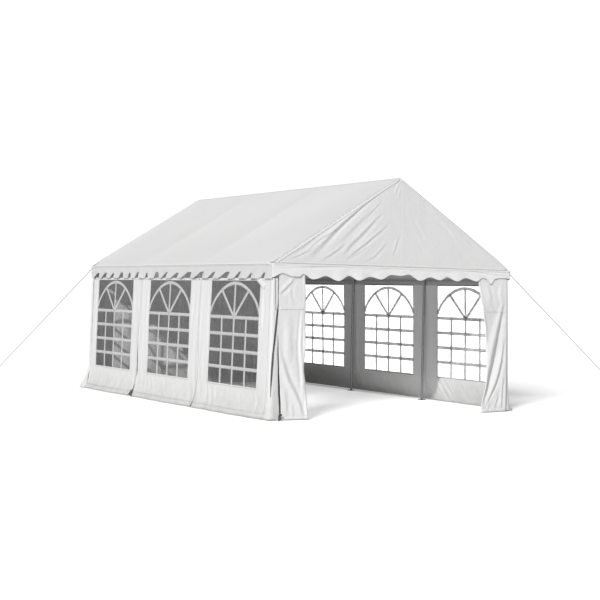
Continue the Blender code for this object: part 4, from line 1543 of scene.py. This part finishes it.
RIGHT_FLAP = {
    "leg": [(0.0, 1.935), (0.5, 1.94), (1.4, 1.94), (1.8, 1.945), (2.02, 1.93)],
    "free": [(0.0, 1.488), (0.12, 1.478), (0.45, 1.526), (0.75, 1.55), (1.0, 1.545), (1.18, 1.525),
             (1.46, 1.48), (1.61, 1.452), (1.89, 1.43), (2.02, 1.435)],
    "swing": [(0.0, 0.055), (0.9, 0.075), (1.45, 0.075), (1.82, 0.0)],
    "folds": [
        Fold([(1.875, 1.56), (1.8, 1.3), (1.715, 1.0), (1.65, 0.75), (1.585, 0.5), (1.49, 0.12)],
             (0.022, 0.05, 0.06, 0.042, 0.024), 0.038),
        Fold([(1.885, 1.0), (1.85, 0.76), (1.8, 0.58), (1.735, 0.409), (1.668, 0.293),
              (1.575, 0.13)], (0.018, 0.032, 0.03, 0.018), 0.022),
        Fold([(1.89, 0.5), (1.866, 0.3), (1.855, 0.04)], (0.018, 0.026), 0.012),
        Fold([(1.8, 0.24), (1.75, 0.13), (1.72, 0.03)], 0.022, 0.009),
        Fold([(1.64, 0.14), (1.61, 0.08), (1.58, 0.02)], 0.016, 0.006),
        Fold([(1.6, 1.86), (1.64, 1.66), (1.63, 1.5)], 0.034, 0.005),
        Fold([(1.82, 1.88), (1.79, 1.7), (1.83, 1.5)], 0.032, -0.006),
    ],
}
# How much cloth is turned back behind each flap, how far its foot stands forward, and how far it
# shifts aside for each metre forward, so that the photo's camera sees it in place
FLAP_BACK, FLAP_KICK, SIGHT = 0.3, 0.07, 0.618


def flap_surface(flap):
    """The placing function of a drawn-back flap's outer face, over the distance from its leg edge
    and height. Past its free edge the cloth turns back behind itself."""
    fold_share = bpy.context.scene.tent_cloth.fold
    top_leg, top_free = flap["leg"][-1][1], flap["free"][-1][1]
    width = abs(top_free - top_leg)
    way = 1 if top_free > top_leg else -1
    bend = 0.006
    arc = math.pi * bend

    def front(across, z):
        share = across / width
        start, end = between(flap["leg"], z), between(flap["free"], z)
        x = start + (end - start) * share
        down = (EAVE_HUB - SLEEVE_R - z) / (EAVE_HUB - SLEEVE_R)
        forward = 0.023 + 0.026 * min(1.0, 2.5 * max(0.0, down - 0.09)) + FLAP_KICK * down ** 2
        forward += between(flap["swing"], z) * share
        aside = SIGHT * (forward - 0.065)
        creases = folded(flap["folds"], x, z) + 0.0018 * uneven(x, z, 0.07, 5.0 + way)
        forward += creases * fold_share
        forward += 0.0022 * (ease(1.412, 1.42, z) - ease(1.472, 1.48, z))
        forward += 0.01 * ease(0.9, 1.0, share) * math.sin(7.0 * z + way) * min(1.0, 3 * down)
        return x - aside * min(1.0, 4 * down), max(forward, 0.023)

    def surface(across, z):
        past = across - width
        if past <= 0:
            x, forward = front(across, z)
        elif past < arc:
            x, forward = front(width, z)
            angle = past / bend
            x, forward = x + way * bend * math.sin(angle), forward - bend * (1 - math.cos(angle))
        else:
            x, forward = front(width - (past - arc), z)
            forward -= 2 * bend
        return Vector((x, -LEG_Y - forward, z))

    return surface, width, arc


def build_door_flaps():
    """The front door's halves, drawn back to the corner legs."""
    cloth = bpy.context.scene.tent_cloth
    top = EAVE_HUB - SLEEVE_R - GAP
    outward = (0, -1, 0)
    for word, flap in (("left", LEFT_FLAP), ("right", RIGHT_FLAP)):
        surface, width, arc = flap_surface(flap)
        columns = chain(spread(0.0, width, 0.0085), spread(width, width + arc, 0.003),
                        spread(width + arc, width + arc + FLAP_BACK, 0.02))
        flap_cloth = lay(f"door_flap_cloth_{word}", columns, spread(HEM, top, 0.012), surface,
                         outward, "door", f"door_flap_{word}")
        hems = sewn(f"door_flap_hems_{word}", "tape", cloth.thickness, surface,
                    outward,
                    [(level_line(0.008, width - 0.008, HEM + 0.024, 0.01), 0.021, 0.0016, 4),
                     (upright_line(width - 0.016, HEM + 0.048, top - 0.01, 0.012), 0.014,
                      0.0016, 4),
                     (level_line(0.02, width - 0.034, 1.446, 0.01), 0.012, 0.0022)])
        width + arc + FLAP_BACK
        top - HEM


# Steel frame

def tube_piece(bm, start, end, radius, sides):
    """A tube with slightly rounded ends."""
    start, end = Vector(start), Vector(end)
    nose = (end - start).normalized() * radius * 0.12
    sweep(bm, [start, start + nose, start + nose * 3, end - nose * 3, end - nose, end],
          [radius * 0.88] + [radius] * 4 + [radius * 0.88], sides)


def sleeve_piece(bm, centre, heading, sides):
    """A fitting's sleeve with a rolled lip."""
    centre, heading = Vector(centre), Vector(heading).normalized()
    profile = ((-0.004, 0.0), (SLEEVE - 0.01, 0.0), (SLEEVE - 0.007, 0.0012),
               (SLEEVE - 0.003, 0.0012), (SLEEVE, -0.0006))
    sweep(bm, [centre + heading * along for along, _ in profile],
          [SLEEVE_R + more for _, more in profile], sides)


def weld_ball(bm, centre):
    """The welded heart of a fitting."""
    made = bmesh.ops.create_uvsphere(bm, u_segments=24, v_segments=14, radius=HUB_R,
                                     matrix=Matrix.Translation(centre))["verts"]
    for face in faces_of(made):
        face.smooth = True


def along_frames(number):
    """Directions along Y in which a frame has a neighbour."""
    return ([Vector((0, 1, 0))] if number < BAYS else []) + ([Vector((0, -1, 0))] if number else [])


def foot_plate(bm, x, y):
    """A square foot plate with rounded corners and a welded collar."""
    thick = 0.005
    made = block(bm, (x, y, thick / 2), (0.1, 0.1, thick))
    upright = [e for e in edges_of(made) if abs(e.verts[0].co.z - e.verts[1].co.z) > thick / 2]
    rounded(bm, upright, 0.01, 4)
    sweep(bm, [(x, y, 0.003), (x, y, 0.012), (x, y, 0.0145), (x, y, 0.016)],
          [TUBE_R + 0.005, TUBE_R + 0.0045, TUBE_R + 0.003, TUBE_R + 0.0012], 28)


def build_legs():
    """Eight legs with their foot plates and eave fittings."""
    sides = bpy.context.scene.tent_steel.sides
    for side, word in SIDES:
        inward = Vector((-side, 0, 0))
        for number, y in enumerate(FRAME_Y):
            x, name = side * LEG_X, f"{word}_{number + 1}"
            head = Vector((x, y, EAVE_HUB))
            bm = bmesh.new()
            foot_plate(bm, x, y)
            tube_piece(bm, (x, y, 0.004), (x, y, EAVE_HUB - SLEEVE + 0.02), TUBE_R, sides)
            tube_leg = finished(f"steel_leg_{name}", bm, "steel",
                                instead_of=f"leg_{name}")
            bm = bmesh.new()
            headings = [Vector((0, 0, -1)), Vector((-side, 0, SLOPE))] + along_frames(number)
            weld_ball(bm, head)
            for heading in headings + ([inward] if number in (0, BAYS) else []):
                sleeve_piece(bm, head, heading, sides)
            finished(f"eave_fitting_{name}", bm, "fitting",
                     instead_of=f"leg_{name}")
            bm = bmesh.new()
            for heading in [Vector((0, 0, -1))] + along_frames(number):
                hexagon_bolt(bm, head + heading * BOLT_AT + inward * SLEEVE_R, inward)
            for dx, dy in ((-1, -1), (1, 1), (1, -1), (-1, 1)):
                hexagon_bolt(bm, Vector((x + dx * 0.034, y + dy * 0.034, 0.0052)), UP, 0.0085,
                             0.01)
            finished(f"leg_bolts_{name}", bm, "bolt").parent = tube_leg


def build_trusses():
    """Four pairs of rafters with their ridge fittings, and every rail between the frames."""
    sides = bpy.context.scene.tent_steel.sides
    falls = [Vector((side, 0, -SLOPE)).normalized() for side in (-1, 1)]
    length = math.hypot(LEG_X, RIDGE_HUB - EAVE_HUB) - SLEEVE - GAP
    for number, y in enumerate(FRAME_Y):
        top = Vector((0, y, RIDGE_HUB))
        bm = bmesh.new()
        for fall in falls:
            tube_piece(bm, top + fall * (SLEEVE - 0.02), top + fall * length, TUBE_R, sides)
        finished(f"steel_rafters_{number + 1}", bm, "steel",
                 instead_of=f"truss_{number + 1}")
        bm = bmesh.new()
        weld_ball(bm, top)
        for heading in falls + along_frames(number):
            sleeve_piece(bm, top, heading, sides)
        for fall in falls:
            under = Vector((fall.z * math.copysign(1, fall.x), 0, -abs(fall.x))).normalized()
            hexagon_bolt(bm, top + fall * BOLT_AT + under * SLEEVE_R, under)
        finished(f"ridge_fitting_{number + 1}", bm, "fitting",
                 instead_of=f"truss_{number + 1}")
    bars = []
    for bay in range(BAYS):
        start, end = FRAME_Y[bay] + SLEEVE + GAP, FRAME_Y[bay + 1] - SLEEVE - GAP
        bars += [((x, start, z), (x, end, z), f"{name}_{bay + 1}") for x, z, name in (
            (-LEG_X, EAVE_HUB, "eave_rail_left"), (LEG_X, EAVE_HUB, "eave_rail_right"),
            (0.0, RIDGE_HUB, "ridge_rail"))]
    reach = LEG_X - SLEEVE - GAP
    bars += [((-reach, facing * LEG_Y, EAVE_HUB), (reach, facing * LEG_Y, EAVE_HUB),
              f"crossbar_{word}") for facing, word in ENDS]
    for start, end, name in bars:
        bm = bmesh.new()
        tube_piece(bm, start, end, TUBE_R, sides)
        finished(f"steel_{name}", bm, "steel", instead_of=name)


# Elastic loops

def elastic_loop(bm, low, centre, radius, axis):
    """An elastic cord from an eyelet up round a tube and back."""
    low, centre, axis = Vector(low), Vector(centre), Vector(axis).normalized()
    away = low - centre
    shift = axis * away.dot(axis)
    toward = (away - shift).normalized()
    across = axis.cross(toward)
    points = [low + across * 0.003]
    for i in range(13):
        angle = math.radians(-110 + 220 * i / 12)
        points.append(centre + shift + (-toward * math.cos(angle) - across * math.sin(angle))
                      * (radius + ELASTIC_R))
    points.append(low - across * 0.003)
    sweep(bm, points, ELASTIC_R, 8)


def build_ties():
    """Elastic loops that hang the walls from the rails and tie them to the legs."""
    bm, balls = bmesh.new(), bmesh.new()

    def ball(place, radius):
        bmesh.ops.create_icosphere(balls, subdivisions=2, radius=radius,
                                   matrix=Matrix.Translation(place))

    def hang(foot, out, centre, on_sleeve, axis):
        radius = SLEEVE_R + 0.0014 if on_sleeve else TUBE_R
        elastic_loop(bm, foot + out * 0.004, centre, radius, axis)
        ball(foot + out * 0.008 - UP * 0.002, 0.0085)

    for side in (-1, 1):
        out = Vector((side, 0, 0))
        for number in range(BAYS):
            surface = wall_surface(side, number)
            near, far = wall_limits(number, 0.0)
            for distance in eyelet_distances(near, min(far, WALL_END)):
                on_sleeve = any(abs(-distance - y) < SLEEVE + 0.01 for y in FRAME_Y)
                hang(surface(distance, HANG[side] - EYELET_DROP), out,
                     (side * LEG_X, 0, EAVE_HUB), on_sleeve, (0, 1, 0))
        for y in FRAME_Y[1:-1]:
            for z in (0.36, 0.84, 1.3, 1.66):
                leg = Vector((side * LEG_X, y, z))
                sweep(bm, circle(leg, TUBE_R + 0.0026, 20, 0.004, 2), 0.0024, 8, closed=True)
                ball(leg + Vector((-side * (TUBE_R + 0.009), 0.004, 0)), 0.0095)
    for side in (-1, 1):
        surface = rear_surface(side)
        for distance in eyelet_distances(0.0, LEG_X - 0.02):
            hang(surface(distance, REAR_TOP - EYELET_DROP), Vector((0, 1, 0)),
                 (0, LEG_Y, EAVE_HUB), distance > LEG_X - SLEEVE - 0.01, (1, 0, 0))
    for face in balls.faces:
        face.smooth = True
    finished("elastic_loops", bm, "elastic")
    finished("elastic_loop_balls", balls, "knob")
    bm = bmesh.new()
    for side in (-1, 1):
        for z in (0.9, 1.43):
            leg = Vector((side * LEG_X, -LEG_Y, z))
            sweep(bm, circle(leg, TUBE_R + 0.004, 20), 0.0028, 8, closed=True)
    finished("door_tie_cords", bm, "elastic")


def build_foot_hooks():
    """The dark hook that pins down the left flap's corner, and two eyelets on the right foot."""
    bm = bmesh.new()
    foot = Vector((-1.925, -LEG_Y - 0.15, 0.0))
    shape = (((0, 0, 0.001), 0.008), ((0, 0, 0.006), 0.0115), ((0, 0, 0.06), 0.0115),
             ((0.002, -0.006, 0.078), 0.0115), ((0.01, -0.014, 0.088), 0.011),
             ((0.022, -0.016, 0.084), 0.01), ((0.027, -0.014, 0.07), 0.008))
    sweep(bm, [foot + Vector(point) for point, _ in shape], [radius for _, radius in shape], 14)
    ring(bm, foot + Vector((0.01, -0.004, 0.036)), (0.3, -1, 0.2), 0.016, 0.007)
    finished("corner_hook_left", bm, "bolt")
    bm = bmesh.new()
    for x in (1.985, 2.052):
        ring(bm, (x, -LEG_Y - 0.065, 0.02), (0, -1, 0.25), 0.0145, 0.0042)
    finished("corner_rings_right", bm, "fitting")


# Ropes and pegs

def build_guy_ropes():
    """Two braided ropes with a loop and a slider each, from roof corners to ground pegs."""
    for x_sign, y_sign, word in ((-1, 1, "rear_left"), (1, -1, "front_right")):
        outward = Vector((x_sign, y_sign, 0)).normalized()
        corner = Vector((x_sign * HALF_W, y_sign * HALF_L, ROPE_TOP))
        peg = Vector((x_sign * (HALF_W + ROPE_REACH), y_sign * (HALF_L + ROPE_REACH), 0))
        start = corner + outward * ROPE_R
        end = peg - outward * (PEG_R + ROPE_R) + UP * ROPE_LOW
        run = end - start
        heading = run.normalized()
        across = heading.cross(UP).normalized()
        bm = bmesh.new()
        sweep(bm, [start + run * i / 60 for i in range(61)], ROPE_R, 14)
        loop = circle(peg + UP * ROPE_LOW, PEG_R + 0.0035, 24, 0.003)
        sweep(bm, loop, 0.0034, 10, closed=True)
        for shift in (0.03, 0.04, 0.05, 0.06):
            ring(bm, end - heading * shift, heading, ROPE_R + 0.0015, 0.003, sides=8, steps=18)
        second = [end - heading * back + across * aside for back, aside in (
            (0.05, 0.004), (0.12, 0.0085), (0.26, 0.0085), (SLIDER_BACK, 0.006))]
        sweep(bm, second, 0.0034, 10)
        rope = finished(f"guy_line_{word}", bm, "rope", instead_of=f"guy_rope_{word}")
        bm = bmesh.new()
        made = block(bm, end - heading * SLIDER_BACK, (0.03, 0.055, 0.007),
                     heading.to_track_quat("Y", "Z").to_matrix().to_4x4())
        rounded(bm, edges_of(made), 0.003, 3)
        finished(f"rope_slider_{word}", bm, "knob").parent = rope
        bm = bmesh.new()
        ring(bm, start - heading * 0.006, across, 0.011, 0.0022)
        finished(f"corner_ring_{word}", bm, "fitting").parent = rope
        bm = bmesh.new()
        for profile, sides in ((((0.0, PEG_R - 0.002), (0.004, PEG_R), (PEG_HIGH - 0.008, PEG_R),
                                 (PEG_HIGH - 0.005, PEG_R)), 20),
                               (((PEG_HIGH - 0.006, 0.01), (PEG_HIGH - 0.004, 0.014),
                                 (PEG_HIGH + 0.003, 0.014), (PEG_HIGH + 0.006, 0.011)), 24)):
            sweep(bm, [peg + UP * z for z, _ in profile], [radius for _, radius in profile], sides)
        finished(f"ground_pin_{word}", bm, "bolt", instead_of=f"ground_peg_{word}")


# Stage

TOWARDS_SUN = Vector((-1.32, -1.0, 0.961)).normalized()
# The floor's own sun stands lower, which gives the long soft shadow beside the tent
TOWARDS_FLOOR_SUN = Vector((-0.715, -0.6, 0.44)).normalized()
CAMERA_PLACE = Vector((-10.49, -17.42, 1.66))
CAMERA_RIGHT = Vector((0.85042287, -0.52571011, 0.0202441))
CAMERA_UP = Vector((-0.01419019, 0.0155446, 0.99977848))
FLOOR_SIZE = 120.0
# How much the camera sees the floor lifted, outside and inside the tent, and what the floor and
# the sky gain behind a film
FLOOR_LIFT, INNER_LIFT, THROUGH_FILM = 0.18, 0.43, 1.6
# The glow of the inner floor, where along Y it is strongest, and how far it reaches from there
INNER_GLOW, GLOW_PLACE, GLOW_REACH = 0.66, -1.0, 2.6
# The floor sun's strength against the tent's, and the floor's colour for light that bounces off it
FLOOR_SUN_SHARE = 2.25
OUTER_BOUNCE, INNER_BOUNCE = 0.6, 0.28
# The strip behind the tent that stays plain when it is seen through a film
SKIRT_ROOM = 0.4
# What the camera sees of the sky
SKY_SEEN = 1.02


def floor_mask(spot, rear_room):
    """1 on the floor under the tent and over rear_room metres behind it, and 0 elsewhere."""
    beside = abs(spot["X"]) < HALF_W - 0.01
    return beside * (abs(spot["Y"] - rear_room / 2) < HALF_L + rear_room / 2 - 0.01)


def floor_finish(colour):
    """The pale floor. The camera sees it a little lighter than its light makes it, as in the
    photo: more so inside the tent, and most through two films. It sends less light back than its
    colour says, and it glows softly inside the tent for everything but the camera."""
    material, tree, shader, place, _ = principled("plain_floor", colour, 0.9)
    path = values_of(add_node(tree, "ShaderNodeLightPath"))
    seen, film = path["Is Camera Ray"], path["Transparent Depth"] > 0.5
    spot = separate(tree, place)
    inner, outer = floor_mask(spot, 0.0), 1.0 - floor_mask(spot, SKIRT_ROOM)
    bounce = blend_colours(tree, inner, (OUTER_BOUNCE,) * 3, (INNER_BOUNCE,) * 3)
    open_view = inner * (INNER_LIFT - FLOOR_LIFT) + FLOOR_LIFT
    film_view = outer * (FLOOR_LIFT + THROUGH_FILM)
    near = (1.0 - abs(spot["Y"] - GLOW_PLACE) / GLOW_REACH).clamped()
    glow = (1.0 - seen) * (inner * (near * INNER_GLOW))
    feed(shader, {"Base Color": blend_colours(tree, seen, bounce, colour),
                  "Specular IOR Level": 0.1, "Emission Color": WHITE,
                  "Emission Strength": seen * (film * film_view + (1.0 - film) * open_view)
                  + glow})
    return material


def build_floor():
    """The plain pale floor."""
    scene = bpy.context.scene
    bm = bmesh.new()
    bmesh.ops.create_grid(bm, x_segments=8, y_segments=8, size=FLOOR_SIZE)
    mesh = bpy.data.meshes.new("plain_floor")
    bm.to_mesh(mesh)
    bm.free()
    floor = bpy.data.objects.new("plain_floor", mesh)
    scene.collection.objects.link(floor)
    mesh.materials.append(floor_finish(tuple(scene.tent_stage.floor_colour)))
    return floor


def build_light(floor):
    """One sun for the tent, a lower and softer one for the floor alone, and a white sky."""
    scene = bpy.context.scene
    stage = scene.tent_stage
    only_floor = bpy.data.collections.new("only_floor")
    all_but_floor = bpy.data.collections.new("all_but_floor")
    for collection, state in ((only_floor, "INCLUDE"), (all_but_floor, "EXCLUDE")):
        collection.objects.link(floor)
        collection.collection_objects[0].light_linking.link_state = state
    for name, angle, share, towards, receivers in (
            ("front_left_sun", 0.9, 1.0, TOWARDS_SUN, all_but_floor),
            ("soft_floor_sun", 17.0, FLOOR_SUN_SHARE, TOWARDS_FLOOR_SUN, only_floor)):
        sun_data = bpy.data.lights.new(name, "SUN")
        sun_data.energy, sun_data.angle = stage.sun * share, math.radians(angle)
        sun = bpy.data.objects.new(name, sun_data)
        sun.rotation_mode = "QUATERNION"
        sun.rotation_quaternion = towards.to_track_quat("Z", "Y")
        sun.location = towards * 20
        sun.light_linking.receiver_collection = receivers
        scene.collection.objects.link(sun)
    world = bpy.data.worlds.new("white_surround")
    world.use_nodes = True
    sky = world.node_tree
    path = values_of(add_node(sky, "ShaderNodeLightPath"))
    behind_film = (path["Transparent Depth"] > 0.5) * THROUGH_FILM
    seen = path["Is Camera Ray"] * (behind_film + (SKY_SEEN - stage.sky))
    feed(sky.nodes["Background"], {"Color": WHITE, "Strength": seen + stage.sky})
    scene.world = world
    scene.view_settings.view_transform = "Standard"


def build_camera():
    """The camera at the photo's place and angle."""
    scene = bpy.context.scene
    data = bpy.data.cameras.new("photo_camera")
    data.lens, data.sensor_width, data.clip_end = scene.tent_stage.lens, 36.0, 400.0
    camera = bpy.data.objects.new("photo_camera", data)
    turn = Matrix((CAMERA_RIGHT, CAMERA_UP, CAMERA_RIGHT.cross(CAMERA_UP))).transposed().to_4x4()
    camera.matrix_world = Matrix.Translation(CAMERA_PLACE) @ turn
    scene.collection.objects.link(camera)
    scene.camera = camera


def build_stage():
    """A plain pale floor, soft light, a sun from the front left and the camera."""
    build_light(build_floor())
    build_camera()


# Operators, panel and main

def operator(suffix, label, about, work):
    """An Operator class that builds one group of pieces."""

    def execute(self, context):
        work()
        return {"FINISHED"}

    return type(f"PARTYTENT_OT_{suffix}", (bpy.types.Operator,), {
        "bl_idname": f"party_tent.{suffix}", "bl_label": label, "__doc__": about,
        "execute": execute})


OPERATORS = [
    operator("stage", "Stage", "Build the floor, the light and the camera", build_stage),
    operator("finishes", "Finishes", "Build every material of the tent", make_finishes),
    operator("legs", "Legs", "Build the legs with their feet and eave fittings", build_legs),
    operator("trusses", "Trusses", "Build the rafters, rails and crossbars", build_trusses),
    operator("roof", "Roof", "Build the roof cover and its seams", build_roof),
    operator("gables", "Gables", "Build both gable cloths", build_gables),
    operator("valances", "Valances", "Build the scalloped strips", build_valances),
    operator("side_walls", "Side walls", "Build the walls with their windows", build_side_walls),
    operator("rear_doors", "Rear doors", "Build the closed rear end", build_rear_doors),
    operator("door_flaps", "Door flaps", "Build the drawn-back front flaps", build_door_flaps),
    operator("ties", "Elastic loops", "Build the loops that tie the walls", build_ties),
    operator("foot_hooks", "Foot hooks", "Build the hook and rings at the front feet",
             build_foot_hooks),
    operator("guy_ropes", "Guy ropes", "Build the ropes and their pegs", build_guy_ropes),
]


class PARTYTENT_PT_panel(bpy.types.Panel):
    """Lists the pieces of the tent and their sizes."""
    bl_label = "Party tent"
    bl_idname = "PARTYTENT_PT_panel"
    bl_space_type = "VIEW_3D"
    bl_region_type = "UI"
    bl_category = "Tent"

    def draw(self, context):
        layout = self.layout
        for kind in OPERATORS:
            layout.operator(kind.bl_idname)
        for name, (kind, title) in PROPERTIES.items():
            box = layout.box()
            box.label(text=title)
            for key in kind.__annotations__:
                box.prop(getattr(context.scene, name), key)


PROPERTIES = {
    "tent_cloth": (TentCloth, "Cloth"),
    "tent_windows": (TentWindows, "Windows"),
    "tent_steel": (TentSteel, "Steel"),
    "tent_stage": (TentStage, "Stage"),
}


def register():
    """Register the property groups, the operators and the panel."""
    for name, (kind, _title) in PROPERTIES.items():
        bpy.utils.register_class(kind)
        setattr(bpy.types.Scene, name, PointerProperty(type=kind))
    for kind in OPERATORS + [PARTYTENT_PT_panel]:
        bpy.utils.register_class(kind)


def unregister():
    """Take away what register added."""
    for kind in [PARTYTENT_PT_panel] + OPERATORS[::-1]:
        bpy.utils.unregister_class(kind)
    for name, (kind, _title) in PROPERTIES.items():
        delattr(bpy.types.Scene, name)
        bpy.utils.unregister_class(kind)


def main():
    """Build the whole tent on its frame."""
    register()
    for kind in OPERATORS:
        group, name = kind.bl_idname.split(".")
        getattr(getattr(bpy.ops, group), name)()


if __name__ == "__main__":
    main()
